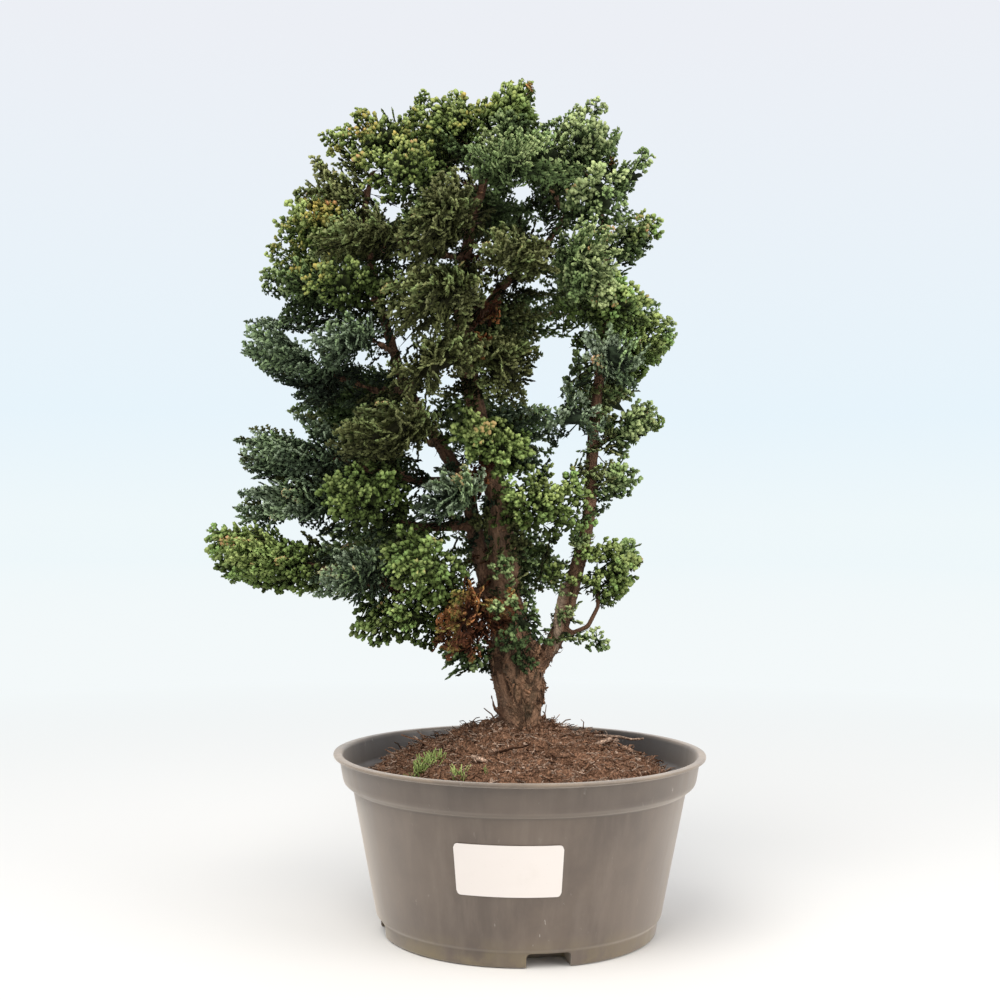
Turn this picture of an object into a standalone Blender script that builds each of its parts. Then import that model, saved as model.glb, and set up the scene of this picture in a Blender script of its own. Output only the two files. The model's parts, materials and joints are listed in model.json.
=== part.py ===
"""A small hinoki cypress bonsai standing in a round nursery pot.

Units are metres, +Z is up, and the origin is the middle of the pot's underside.
The pot, its blank label, the soil, the wood and each spray of foliage are separate solids.
Lengths in the tables below are in millimetres and are scaled by MM where they are used.
"""

import itertools
import math
import random

import bmesh
import bpy
from mathutils import Matrix, Vector
from mathutils.bvhtree import BVHTree

MM = 0.001
GAP = 0.3                    # clearance between touching pieces
SEED = 11

# The pot: radius and height of its turned outline
POT_SEGMENTS = 44
POT_HEIGHT = 104.0
RIM_RADIUS = 110.0
RIM_DEPTH = 2.0
WALL_FOOT = (84.2, 10.5)     # where the tapered wall starts, above the foot ring
WALL_TOP = (97.8, 80.5)      # where it meets the collar
WALL = 1.6
FLOOR = 2.0
FLOOR_RADIUS = 79.0          # the cavity's floor, and the height where its wall starts
CAVITY_FOOT = 14.0
FOOT_RADIUS = 81.2
FOOT_HEIGHT = 8.3
CHANNEL_WIDTH = 25.0         # the four drainage channels through the foot ring
CHANNEL_HEIGHT = 8.0
CHANNEL_INNER = 62.0
CHANNEL_ANGLES = (-79.0, 11.0, 101.0, 191.0)
DRAIN_RADIUS = 3.5

# The label on the front of the wall
LABEL_LEFT = -112.4          # degrees round the pot
LABEL_RIGHT = -76.2
LABEL_LOW = 40.4
LABEL_HIGH = 69.1
LABEL_CORNER = 2.4
LABEL_THICK = 0.6

# The soil: its mound as (radius, height), from the trunk down to the wall
MOUND = [(0, 121.0), (16, 119.5), (37, 113.0), (56, 105.0), (74, 97.5), (88, 89.0)]
SOIL_EDGE = 79.5             # height of the soil where it meets the wall
SOIL_LUMP = 1.7
SOIL_SEGMENTS = POT_SEGMENTS // 2

# The trunk's hidden foot in the soil
ROOT_BOTTOM = 72.0
ROOT_RADIUS = 11.5

# Foliage
TWIG_END = 1.2               # radius of a twig where a spray takes over
SPRAY_GAP = 0.45             # from the end of the twig to the foot of the spray
CLEARANCE = 0.35             # kept between a spray and everything placed before it

BARK = (0.16, 0.075, 0.045)
FOLIAGE = {
    "bright": (0.14, 0.27, 0.05),
    "green": (0.05, 0.15, 0.04),
    "blue": (0.06, 0.14, 0.09),
    "olive": (0.09, 0.12, 0.05),
    "rust": (0.24, 0.09, 0.04),
}

# Each leader or limb: points (x, y, z) with the radius there
LEADERS = {
    "trunk": [(0, 0, 118, 12.4), (0, 0, 127, 13.4), (0, -1, 139, 15.2), (-2, -1, 151, 16.2),
              (-4, 0, 162, 15.0), (-6, 0, 176, 11.5), (-8, 0, 194, 9.3), (-11, -1, 224, 8.0),
              (-14, -2, 253, 7.0), (-21, -2, 288, 6.0), (-29, -1, 314, 5.4), (-34, 0, 345, 5.0),
              (-37, 1, 372, 4.4), (-34, 2, 398, 3.8), (-29, 2, 424, 3.2), (-22, 1, 446, 2.6),
              (-15, 0, 464, 2.0)],
    "left": [(-6, 3, 166, 7.5), (-14, 5, 184, 6.4), (-20, 5, 204, 5.6), (-27, 5, 232, 5.0),
             (-31, 6, 254, 4.5), (-41, 7, 274, 4.2), (-56, 7, 297, 3.8), (-71, 6, 324, 3.4),
             (-82, 5, 358, 3.0), (-91, 4, 396, 2.6), (-95, 3, 424, 2.2), (-90, 0, 448, 1.8)],
    "right": [(4, 0, 148, 8.5), (13, 0, 157, 6.4), (20, 0, 168, 5.4), (27, 0, 186, 5.0),
              (32, 0, 206, 4.7), (37, 0, 224, 4.4), (41, 0, 246, 4.1), (42, 0, 273, 3.8),
              (43, 0, 296, 3.4), (46, 0, 324, 3.0), (50, 0, 354, 2.7), (51, 0, 386, 2.4),
              (48, 0, 418, 2.0), (43, 0, 442, 1.6)],
    "low_left": [(-18, 4, 199, 4.2), (-40, -4, 194, 3.6), (-66, -12, 197, 3.0),
                 (-96, -17, 206, 2.3), (-124, -18, 215, 1.6)],
    "mid_left": [(-28, 5, 238, 3.6), (-56, -2, 236, 3.0), (-86, -7, 241, 2.3), (-111, -8, 247, 1.6)],
    "high_left": [(-36, 6, 264, 3.4), (-64, 1, 264, 2.8), (-90, -3, 270, 2.2), (-111, -5, 277, 1.6)],
    "cross": [(-35, 1, 352, 3.6), (-12, 0, 380, 3.0), (12, -2, 402, 2.4), (27, -3, 424, 1.8)],
    "bow": [(25, -1, 178, 2.6), (31, -3, 174, 2.1), (40, -4, 178, 1.8), (46, -4, 190, 1.6),
            (45, -4, 206, 1.4)],
    "dead_stick": [(22, -4, 163, 1.5), (24, -6, 183, 1.3), (28, -6, 205, 0.9)],
    "stub": [(-9, -6, 123, 1.6), (-15, -9, 130, 1.3), (-17, -9, 138, 0.8)],
}

# Lumps of old bark and cut knots: place and radii
KNOTS = [
    ((15, -3, 139), (5.5, 7, 8)),
    ((-12, -6, 150), (5, 6, 9)),
    ((3, -13, 150), (6, 5, 8)),
    ((-3, 12, 144), (8, 5, 10)),
    ((6, -9, 163), (8, 7, 7)),
    ((-14, -4, 163), (7, 6, 6)),
]

# Each spray: name, end of its twig, tip of the foliage, form, colour, and how often its core is divided
SPRAYS = [
    ("low_left_tip", (-129, -18, 216), (-183, -20, 230), "feather", "bright", 2),
    ("low_left_middle", (-79, -22, 207), (-120, -50, 211), "feather", "blue", 2),
    ("low_left_under", (-44, -18, 187), (-92, -30, 176), "tuft", "bright", 2),
    ("low_left_front", (-40, -25, 203), (-78, -68, 226), "tuft", "bright", 2),
    ("mid_left_tip", (-116, -8, 250), (-170, -12, 256), "feather", "blue", 2),
    ("mid_left_front", (-72, -25, 247), (-108, -68, 260), "tuft", "bright", 2),
    ("high_left_tip", (-116, -5, 279), (-169, -10, 285), "feather", "blue", 2),
    ("high_left_front", (-60, -22, 290), (-96, -72, 301), "feather", "olive", 2),
    ("left_shoulder_tip", (-112, -10, 326), (-163, -15, 360), "feather", "blue", 2),
    ("left_shoulder_inner", (-60, -28, 327), (-40, -82, 338), "feather", "olive", 2),
    ("left_shoulder_front", (-90, -25, 347), (-119, -67, 341), "feather", "blue", 2),
    ("upper_left_tip", (-111, 5, 380), (-157, 0, 389), "feather", "green", 2),
    ("upper_left_front", (-90, -25, 373), (-118, -62, 376), "tuft", "bright", 2),
    ("left_crown_tip", (-105, 5, 412), (-150, 5, 417), "tuft", "bright", 2),
    ("left_crown_front", (-76, -25, 404), (-114, -66, 408), "feather", "olive", 2),
    ("left_crown_end", (-97, 5, 438), (-132, 5, 446), "feather", "olive", 1),
    ("left_crown_top", (-75, -5, 454), (-90, -20, 481), "tuft", "bright", 2),
    ("left_crown_inner", (-58, -30, 431), (-86, -74, 446), "tuft", "bright", 2),
    ("top_left", (-36, 0, 467), (-45, -10, 495), "tuft", "bright", 2),
    ("top_tip", (-11, 0, 477), (-1, 0, 508), "tuft", "bright", 2),
    ("top_front", (-18, -20, 450), (14, -70, 446), "feather", "olive", 2),
    ("centre_upper", (-39, -20, 415), (-66, -84, 408), "feather", "olive", 2),
    ("centre_lower", (-36, -22, 378), (-66, -84, 361), "feather", "olive", 2),
    ("centre_right", (-6, -20, 394), (0, -82, 393), "feather", "olive", 2),
    ("centre_under", (-22, -10, 343), (10, -46, 318), "feather", "olive", 2),
    ("right_crown_top", (33, -5, 452), (41, -8, 490), "tuft", "green", 2),
    ("right_crown_sprig", (56, 0, 440), (78, 0, 460), "feather", "green", 1),
    ("right_crown_front", (31, -15, 424), (62, -58, 428), "tuft", "green", 2),
    ("upper_right_tip", (56, 0, 405), (84, 0, 418), "tuft", "green", 2),
    ("upper_right_inner", (30, -20, 402), (26, -80, 392), "feather", "blue", 2),
    ("upper_right_front", (48, -12, 366), (66, -52, 366), "tuft", "bright", 2),
    ("right_shoulder_tip", (58, -5, 337), (92, -5, 358), "feather", "bright", 2),
    ("right_shoulder_front", (52, -18, 330), (66, -54, 342), "feather", "blue", 2),
    ("right_shoulder_inner", (41, -5, 306), (16, -34, 300), "feather", "blue", 1),
    ("mid_right_upper", (54, 0, 291), (82, 0, 307), "tuft", "green", 1),
    ("mid_right_lower", (46, 0, 261), (72, 0, 274), "tuft", "green", 1),
    ("low_right_tip", (45, -4, 210), (76, -8, 215), "tuft", "bright", 2),
    ("low_right_under", (31, -5, 172), (48, -6, 171), "tuft", "green", 1),
    ("heart_upper", (-12, -12, 279), (-24, -66, 288), "tuft", "bright", 2),
    ("heart_right", (2, -12, 250), (28, -54, 251), "tuft", "bright", 2),
    ("heart_left", (-34, -10, 256), (-52, -66, 262), "feather", "blue", 2),
    ("fork_front", (-3, -15, 178), (8, -54, 184), "tuft", "green", 2),
    ("fork_left", (-24, -5, 166), (-44, -15, 155), "tuft", "green", 1),
    ("fork_dead", (-21, -14, 183), (-50, -56, 188), "feather", "rust", 2),
    ("back_low_left", (-74, 30, 216), (-117, 85, 224), "feather", "green", 2),
    ("back_mid_left", (-80, 30, 272), (-133, 78, 273), "feather", "green", 2),
    ("back_high_left", (-80, 30, 320), (-134, 72, 316), "feather", "green", 2),
    ("back_left_crown", (-80, 30, 413), (-106, 76, 424), "tuft", "green", 2),
    ("back_top", (-49, 25, 461), (-58, 62, 497), "tuft", "bright", 2),
    ("back_crown", (-25, 30, 426), (-22, 92, 456), "feather", "green", 2),
    ("back_upper", (-20, 30, 364), (0, 92, 366), "feather", "green", 2),
    ("back_right_crown", (18, 25, 444), (18, 74, 489), "tuft", "green", 2),
    ("back_right_shoulder", (43, 25, 376), (60, 78, 392), "feather", "green", 2),
    ("back_mid_right", (44, 20, 314), (62, 72, 322), "tuft", "green", 2),
    ("back_middle", (-15, 25, 296), (-14, 90, 306), "feather", "green", 2),
    ("back_low", (-8, 20, 220), (-6, 80, 226), "feather", "green", 2),
]

# Form of a spray, as shares of its length: the half width and half thickness of its core,
# how far its branchlets stand out of the core, and how far its tip curls down
FORMS = {
    "feather": {"width": 0.25, "thick": 0.12, "branchlet": 0.25, "curl": 0.20},
    "tuft": {"width": 0.28, "thick": 0.17, "branchlet": 0.21, "curl": -0.06},
}
CORE_SHARE = 0.76            # length of the core
CORE_NECK = 0.42             # width of the core at its foot, as a share of its full width
CORE_LOBE = 0.12             # height of the three lobes round the core
CORE_ROUGH = 0.08
LEAN = 0.55                  # how far a branchlet leans towards the spray's tip
FULLNESS = (1.15, 1.3, 1.45, 1.6, 1.8, 2.0, 2.25, 2.5)   # widths to try, widest last

# Ways to set a spray, gentlest first: share of its size, swing sideways and upwards, roll
SIZES = (1.0, 0.94, 0.88, 0.82, 0.76, 0.70, 0.64, 0.58, 0.52)
SWINGS = ((0, 0), (8, 0), (-8, 0), (0, 8), (0, -8), (13, 8), (-13, 8), (13, -8), (-13, -8))
ROLLS = (0, 20, -20, 40, -40, 60, -60, 90)


def clear_scene():
    """Empties the file of objects."""
    for obj in list(bpy.data.objects):
        bpy.data.objects.remove(obj)


def material(name, colour, roughness):
    """A plain Principled material."""
    mat = bpy.data.materials.get(name)
    if mat is None:
        mat = bpy.data.materials.new(name)
        mat.use_nodes = True
        shader = mat.node_tree.nodes["Principled BSDF"]
        shader.inputs["Base Color"].default_value = (*colour, 1)
        shader.inputs["Roughness"].default_value = roughness
        shader.inputs["Metallic"].default_value = 0.0
    return mat


def face_outward(bm):
    """Turns every face of a closed body outward."""
    bmesh.ops.recalc_face_normals(bm, faces=bm.faces[:])
    if bm.calc_volume(signed=True) < 0:
        bmesh.ops.reverse_faces(bm, faces=bm.faces[:])


def add_object(name, bm, mat=None, smooth_angle=None):
    """Turns a bmesh in millimetres into a named object in metres."""
    face_outward(bm)
    mesh = bpy.data.meshes.new(name)
    bm.to_mesh(mesh)
    bm.free()
    mesh.transform(Matrix.Scale(MM, 4))
    obj = bpy.data.objects.new(name, mesh)
    bpy.context.scene.collection.objects.link(obj)
    if mat:
        mesh.materials.append(mat)
    if smooth_angle:
        mesh.shade_smooth()
        mesh.set_sharp_from_angle(angle=math.radians(smooth_angle))
    return obj


def combine(target, cutters, operation, solver="EXACT"):
    """Applies one Boolean of the target with a collection of closed pieces, then removes them."""
    group = bpy.data.collections.new("pieces")
    for piece in cutters:
        group.objects.link(piece)
    join = target.modifiers.new("join", "BOOLEAN")
    join.operation = operation
    join.operand_type = "COLLECTION"
    join.collection = group
    join.solver = solver
    bpy.context.view_layer.objects.active = target
    bpy.ops.object.modifier_apply(modifier=join.name)
    for piece in cutters:
        bpy.data.objects.remove(piece)
    bpy.data.collections.remove(group)
    keep_largest_body(target)


def keep_largest_body(obj):
    """Drops loose scraps, and fills any hollow that the joining sealed."""
    bm = bmesh.new()
    bm.from_mesh(obj.data)
    left = set(bm.verts)
    bodies = []
    while left:
        body = {left.pop()}
        edge_of_body = list(body)
        while edge_of_body:
            vert = edge_of_body.pop()
            for edge in vert.link_edges:
                other = edge.other_vert(vert)
                if other in left:
                    left.discard(other)
                    body.add(other)
                    edge_of_body.append(other)
        bodies.append(body)
    bodies.sort(key=len)
    for body in bodies[:-1]:
        bmesh.ops.delete(bm, geom=list(body), context="VERTS")
    bm.to_mesh(obj.data)
    bm.free()


def turned(name, profile, segments, mat=None, smooth_angle=None):
    """A closed solid turned round Z from a profile of (radius, height) pairs."""
    bm = bmesh.new()
    verts = [bm.verts.new((r, 0, z)) for r, z in profile]
    edges = [bm.edges.new(pair) for pair in zip(verts, verts[1:])]
    if profile[0][0] > 0:
        edges.append(bm.edges.new((verts[-1], verts[0])))
    bmesh.ops.spin(bm, geom=verts + edges, cent=(0, 0, 0), axis=(0, 0, 1),
                   angle=math.tau, steps=segments, use_merge=True)
    bmesh.ops.remove_doubles(bm, verts=bm.verts[:], dist=0.001)
    return add_object(name, bm, mat, smooth_angle)


def wall_radius(height):
    """Outer radius of the pot's tapered wall."""
    share = (height - WALL_FOOT[1]) / (WALL_TOP[1] - WALL_FOOT[1])
    return WALL_FOOT[0] + share * (WALL_TOP[0] - WALL_FOOT[0])


def box(name, size, centre, turn):
    """A box of the given size, turned round Z about the origin."""
    bm = bmesh.new()
    bmesh.ops.create_cube(bm, size=1, matrix=Matrix.LocRotScale(centre, None, size))
    bm.transform(Matrix.Rotation(math.radians(turn), 4, "Z"))
    return add_object(name, bm)


def channel_boxes(name, margin, low, high):
    """The four channel shapes through the foot ring, grown by a margin."""
    inner = CHANNEL_INNER - margin
    outer = FOOT_RADIUS + 12
    size = Vector((outer - inner, CHANNEL_WIDTH + 2 * margin, high - low))
    centre = Vector(((outer + inner) / 2, 0, (high + low) / 2))
    return [box(f"{name}_{i}", size, centre, angle) for i, angle in enumerate(CHANNEL_ANGLES)]


def make_pot():
    """A turned wall with a collar and lip, on a foot ring that four channels pass through."""
    foot, top = WALL_FOOT, WALL_TOP
    outer = [(0, 0), (FOOT_RADIUS, 0), (FOOT_RADIUS + 0.8, FOOT_HEIGHT), foot, top,
             (100.6, 82.2), (103.4, 84.6), (104.2, 87.0), (106.3, 101.2),
             (RIM_RADIUS, POT_HEIGHT - RIM_DEPTH), (RIM_RADIUS, POT_HEIGHT)]
    hollow = [(105.4, POT_HEIGHT), (104.6, POT_HEIGHT - 1.2), (102.6, 87.0), (101.6, 85.2),
              (top[0] - WALL, top[1] + 0.6), (wall_radius(CAVITY_FOOT) - WALL, CAVITY_FOOT),
              (FLOOR_RADIUS, FLOOR), (0, FLOOR)]
    pot = turned("pot", outer + hollow,
                 POT_SEGMENTS, material("pot", (0.055, 0.052, 0.048), 0.55), 32)
    lid = CHANNEL_HEIGHT + WALL
    blocks = channel_boxes("block", WALL, 0.6, lid)
    bound = turned("bound", [(0, 0.4), (FOOT_RADIUS - 0.4, 0.4), (FOOT_RADIUS + 0.4, FOOT_HEIGHT),
                             (foot[0] - 0.4, lid + 1), (0, lid + 1)], POT_SEGMENTS)
    for block in blocks:
        trim = block.modifiers.new("trim", "BOOLEAN")
        trim.operation = "INTERSECT"
        trim.object = bound
        bpy.context.view_layer.objects.active = block
        bpy.ops.object.modifier_apply(modifier=trim.name)
    bpy.data.objects.remove(bound)
    combine(pot, blocks, "UNION")
    cutters = channel_boxes("channel", 0, -1, CHANNEL_HEIGHT)
    for i, angle in enumerate(CHANNEL_ANGLES):
        bm = bmesh.new()
        bmesh.ops.create_cone(bm, cap_ends=True, segments=8, radius1=DRAIN_RADIUS,
                              radius2=DRAIN_RADIUS, depth=8)
        bm.transform(Matrix.Translation((CHANNEL_INNER + 7, 0, lid)))
        bm.transform(Matrix.Rotation(math.radians(angle), 4, "Z"))
        cutters.append(add_object(f"drain_{i}", bm))
    combine(pot, cutters, "DIFFERENCE")
    return pot


def facet_radius(angle, height):
    """Radius of the pot's wall at an angle, on the flat between two of its corners."""
    step = math.tau / POT_SEGMENTS
    middle = (math.floor(angle / step) + 0.5) * step
    return wall_radius(height) * math.cos(step / 2) / math.cos(angle - middle)


def make_label():
    """A thin blank label with rounded corners, following the wall."""
    step = 360 / POT_SEGMENTS
    corner = math.degrees(LABEL_CORNER / wall_radius(LABEL_LOW))
    angles = [LABEL_LEFT, LABEL_LEFT + corner * 0.3, LABEL_LEFT + corner]
    angles += [i * step for i in range(-16, -8) if LABEL_LEFT + corner < i * step < LABEL_RIGHT - corner]
    angles += [LABEL_RIGHT - corner, LABEL_RIGHT - corner * 0.3, LABEL_RIGHT]
    bm = bmesh.new()
    columns = []
    for angle in angles:
        edge = min(angle - LABEL_LEFT, LABEL_RIGHT - angle) / corner
        inset = LABEL_CORNER * (1 - math.sqrt(max(0.0, 1 - max(0.0, 1 - edge) ** 2)))
        turn = math.radians(angle)
        column = []
        for height, rise in ((LABEL_LOW + inset, 0), (LABEL_LOW + inset, 1),
                             (LABEL_HIGH - inset, 1), (LABEL_HIGH - inset, 0)):
            radius = facet_radius(turn, height) + GAP + rise * LABEL_THICK
            column.append(bm.verts.new((radius * math.cos(turn), radius * math.sin(turn), height)))
        columns.append(column)
    for near, far in zip(columns, columns[1:]):
        for i in range(4):
            bm.faces.new((near[i], near[i - 1], far[i - 1], far[i]))
    bm.faces.new(columns[0])
    bm.faces.new(columns[-1][::-1])
    return add_object("label", bm, material("label", (0.85, 0.84, 0.82), 0.5), 32)


def make_soil():
    """A mound of coarse bark soil that fills the pot and peaks at the trunk."""
    rng = random.Random(SEED)
    edge = (wall_radius(SOIL_EDGE) - WALL - GAP, SOIL_EDGE)
    low = (wall_radius(CAVITY_FOOT) - WALL - GAP, CAVITY_FOOT)
    floor = [(FLOOR_RADIUS - GAP, FLOOR + GAP), (0, FLOOR + GAP)]
    soil = turned("soil", MOUND + [edge, low] + floor, SOIL_SEGMENTS,
                  material("soil", (0.16, 0.08, 0.05), 0.95))
    for vert in soil.data.vertices:
        radius = math.hypot(vert.co.x, vert.co.y) / MM
        if vert.co.z > (SOIL_EDGE + 1) * MM and radius > 20:
            vert.co += Vector([rng.uniform(-1, 1) * SOIL_LUMP * MM for _ in range(3)])
    recesses = channel_boxes("recess", WALL + GAP, 0, CHANNEL_HEIGHT + WALL + GAP)
    combine(soil, recesses, "DIFFERENCE")
    combine(soil, [root_shape("hole", GAP)], "DIFFERENCE")
    return soil


def root_shape(name, margin):
    """The plain tapered foot of the trunk that stands in the soil, grown by a margin."""
    neck = LEADERS["trunk"][0]
    wider = margin * 1.15
    rings = [(0, 0, ROOT_BOTTOM - margin, ROOT_RADIUS + wider),
             (0, 0, neck[2] - 1, neck[3] - 0.1 + wider),
             (0, 0, neck[2] + 12, neck[3] - 0.1 + wider * 5.5)]
    return tube(name, rings, 10)


def tube_rings(points, sides, heading=None):
    """Rings of points round a path, carried along it without twisting.

    The last ring is square to the heading, where one is given.
    """
    centres = [Vector(p[:3]) for p in points]
    across = Vector((1, 0, 0))
    rings = []
    for i, centre in enumerate(centres):
        along = (centres[min(i + 1, len(centres) - 1)] - centres[max(i - 1, 0)]).normalized()
        if heading and i == len(centres) - 1:
            along = heading
        across = (across - along * across.dot(along)).normalized()
        up = along.cross(across)
        radius = points[i][3]
        rings.append([centre + radius * (math.cos(a) * across + math.sin(a) * up)
                      for a in (math.tau * k / sides for k in range(sides))])
    return rings


def tube_mesh(bm, points, sides, rough=0.0, rng=None, heading=None):
    """Adds a closed tube along a path of (x, y, z, radius)."""
    rings = []
    for i, ring in enumerate(tube_rings(points, sides, heading)):
        centre = Vector(points[i][:3])
        wobble = rough if 0 < i < len(points) - 1 else 0.0
        swell = [1 + (rng.uniform(-wobble, wobble) if rng else 0.0) for _ in ring]
        rings.append([bm.verts.new(centre + (p - centre) * k) for p, k in zip(ring, swell)])
    for near, far in zip(rings, rings[1:]):
        for i in range(sides):
            bm.faces.new((near[i - 1], near[i], far[i], far[i - 1]))
    bm.faces.new(rings[0][::-1])
    bm.faces.new(rings[-1])


def tube(name, points, sides, rough=0.0, rng=None, mat=None, heading=None):
    """A closed tube object."""
    bm = bmesh.new()
    tube_mesh(bm, points, sides, rough, rng, heading)
    return add_object(name, bm, mat)


def knot(name, centre, radii):
    """A low faceted lump of bark."""
    bm = bmesh.new()
    bmesh.ops.create_icosphere(bm, subdivisions=1, radius=1)
    bm.transform(Matrix.LocRotScale(Vector(centre), None, Vector(radii)))
    return add_object(name, bm)


def limb_samples():
    """Points along every leader and limb, with the radius there."""
    samples = []
    for name, path in LEADERS.items():
        if name in ("dead_stick", "stub"):
            continue
        for a, b in zip(path, path[1:]):
            for k in range(6):
                t = k / 6
                samples.append(tuple(a[i] + t * (b[i] - a[i]) for i in range(4)))
        samples.append(path[-1])
    return samples


def twig_path(base, tip, samples):
    """A short twig from a near limb, rising a little, to the foot of a spray."""
    end = Vector(base)
    heading = (Vector(tip) - end).normalized()

    def cost(sample):
        way = end - Vector(sample[:3])
        drop = max(0.0, 4 - way.z)
        return way.length * (1.7 - way.normalized().dot(heading)) + 1.2 * drop

    start = min(samples, key=cost)
    root = Vector(start[:3])
    length = (end - root).length
    middle = (root + end) / 2 - heading * 0.12 * length + Vector((0, 0, -0.06 * length))
    width = min(start[3] * 0.62, 1.5 + length * 0.018)
    if length < 26:
        return [(*root, width), (*end, TWIG_END)], heading
    return [(*root, width), (*middle, (width + TWIG_END) / 2), (*end, TWIG_END)], heading


def make_wood():
    """Trunk, leaders, limbs, knots and twigs, grown as one piece."""
    rng = random.Random(SEED)
    bark = material("wood", BARK, 0.9)
    samples = limb_samples()
    foot = root_shape("wood", 0)
    foot.data.materials.append(bark)
    pieces = []
    for name, path in LEADERS.items():
        sides = 10 if name == "trunk" else 6 if path[0][3] > 4.5 else 5
        pieces.append(tube(name, path, sides, 0.07 if name == "trunk" else 0.04, rng))
    for i, (centre, radii) in enumerate(KNOTS):
        pieces.append(knot(f"knot_{i}", centre, radii))
    for name, base, tip, _, _, _ in SPRAYS:
        path, heading = twig_path(base, tip, samples)
        pieces.append(tube(f"twig_{name}", path, 4, heading=heading))
    combine(foot, pieces, "UNION", "MANIFOLD")
    return foot


def frame_matrix(origin, along, normal):
    """A frame with X along, and Z as near the normal as it can be."""
    x = along.normalized()
    y = normal.cross(x).normalized()
    z = x.cross(y)
    matrix = Matrix((x, y, z)).transposed().to_4x4()
    matrix.translation = origin
    return matrix


def spray_frame(spec, roll, scale, swing):
    """Where a spray starts, its length, and a frame with X along it and Z square to its flat."""
    foot, end = Vector(spec[1]), Vector(spec[2])
    reach = (end - foot) * scale
    outward = Vector((foot.x + 25, foot.y, 0)).normalized()
    normal = Vector((0, 0, 0.8)) + 0.5 * outward
    side = reach.normalized().cross(normal).normalized()
    normal = side.cross(reach.normalized())
    reach = Matrix.Rotation(math.radians(swing[0]), 3, normal) @ reach
    reach = Matrix.Rotation(math.radians(swing[1]), 3, side) @ reach
    normal = Matrix.Rotation(math.radians(roll), 3, reach.normalized()) @ normal
    foot = foot + reach.normalized() * SPRAY_GAP
    return frame_matrix(foot, reach, normal), reach.length - SPRAY_GAP


def spray_mesh(spec, roll, scale, swing, full):
    """A slim lobed core whose every facet is raised into a three-sided branchlet."""
    name, _, _, form, _, divisions = spec
    rng = random.Random(f"{SEED}{name}")
    shape = FORMS[form]
    frame, length = spray_frame(spec, roll, scale, swing)
    half = CORE_SHARE * length / 2
    phase = rng.uniform(0, math.tau)
    bm = bmesh.new()
    foot_first = Matrix.Rotation(math.radians(90), 3, "Y")
    bmesh.ops.create_icosphere(bm, subdivisions=divisions, radius=1, matrix=foot_first.to_4x4())

    def on_core(unit, bulge):
        """A point of the core: narrow at its foot, broad past the middle, lobed and curled."""
        along = (unit.x + 1) / 2
        taper = CORE_NECK + (1 - CORE_NECK) * min(1.0, along * 1.7)
        x = (unit.x + 1) * half * (1 + 0.5 * (bulge - 1) * along)
        y = unit.y * shape["width"] * length * taper * bulge * full
        z = unit.z * shape["thick"] * length * taper * bulge * full
        return Vector((x, y, z - shape["curl"] * length * along * along))

    units = {vert: vert.co.copy() for vert in bm.verts}
    faces = [(face, face.calc_center_median().normalized()) for face in bm.faces]
    for face, unit in faces:
        peak = bmesh.ops.poke(bm, faces=[face])["verts"][0]
        rim = 0.62 + 0.38 * math.hypot(unit.x, unit.y) ** 2
        stand = shape["branchlet"] * length * rim * rng.uniform(0.82, 1.12)
        lean = Vector((LEAN + 0.6 * unit.x, unit.y, 0.9 * unit.z)).normalized()
        peak.co = on_core(unit * 0.92, 1.0) + lean * stand
    for vert, unit in units.items():
        turn = math.atan2(unit.y, unit.x)
        bulge = 1 + CORE_LOBE * math.sin(3 * turn + phase) + rng.uniform(-CORE_ROUGH, CORE_ROUGH)
        vert.co = on_core(unit, bulge)
    bm.transform(frame)
    face_outward(bm)
    return bm


def tree_of(bm, grow=0.0):
    """A search tree over a closed body's faces, moved out along their normals."""
    bm.normal_update()
    bm.verts.index_update()
    verts = [v.co + v.normal * grow for v in bm.verts]
    return BVHTree.FromPolygons(verts, [[v.index for v in f.verts] for f in bm.faces])


def wood_tree(wood):
    """The wood's faces in millimetres."""
    bm = bmesh.new()
    bm.from_mesh(wood.data)
    bm.transform(Matrix.Scale(1 / MM, 4))
    tree = tree_of(bm)
    bm.free()
    return tree


def is_clear(bm, trees):
    """Whether a body keeps its clearance to every other."""
    grown = tree_of(bm, CLEARANCE)
    return not any(grown.overlap(other) for other in trees)


def place_spray(spec, trees):
    """The gentlest roll, size and swing that keep a slim spray clear of all placed before it."""
    for scale, swing, roll in itertools.product(SIZES, SWINGS, ROLLS):
        bm = spray_mesh(spec, roll, scale, swing, 1.0)
        clear = is_clear(bm, trees)
        tree = tree_of(bm)
        bm.free()
        if clear:
            return (roll, scale, swing), tree
    print("no clear place for", spec[0])
    return None, None


def make_sprays(wood):
    """Places every spray slim, then lets each fill the room that is left around it."""
    trees = {"wood": wood_tree(wood)}
    places = {}
    for spec in SPRAYS:
        place, tree = place_spray(spec, list(trees.values()))
        if place:
            places[spec[0]] = (spec, place, 1.0)
            trees[spec[0]] = tree
    for full in FULLNESS:
        for name, (spec, place, _) in list(places.items()):
            bm = spray_mesh(spec, *place, full)
            if is_clear(bm, [tree for other, tree in trees.items() if other != name]):
                places[name] = (spec, place, full)
                trees[name] = tree_of(bm)
            bm.free()
    for name, (spec, place, full) in places.items():
        mat = material(f"foliage_{spec[4]}", FOLIAGE[spec[4]], 0.7)
        add_object(f"spray_{name}", spray_mesh(spec, *place, full), mat)
    slim = [name for name, (_, _, full) in places.items() if full == 1.0]
    print(len(places), "sprays placed; these have no room to fill out:", *slim)


def main():
    """Builds the pot, label, soil, wood and every spray."""
    clear_scene()
    make_pot()
    make_label()
    make_soil()
    wood = make_wood()
    make_sprays(wood)


main()
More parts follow.
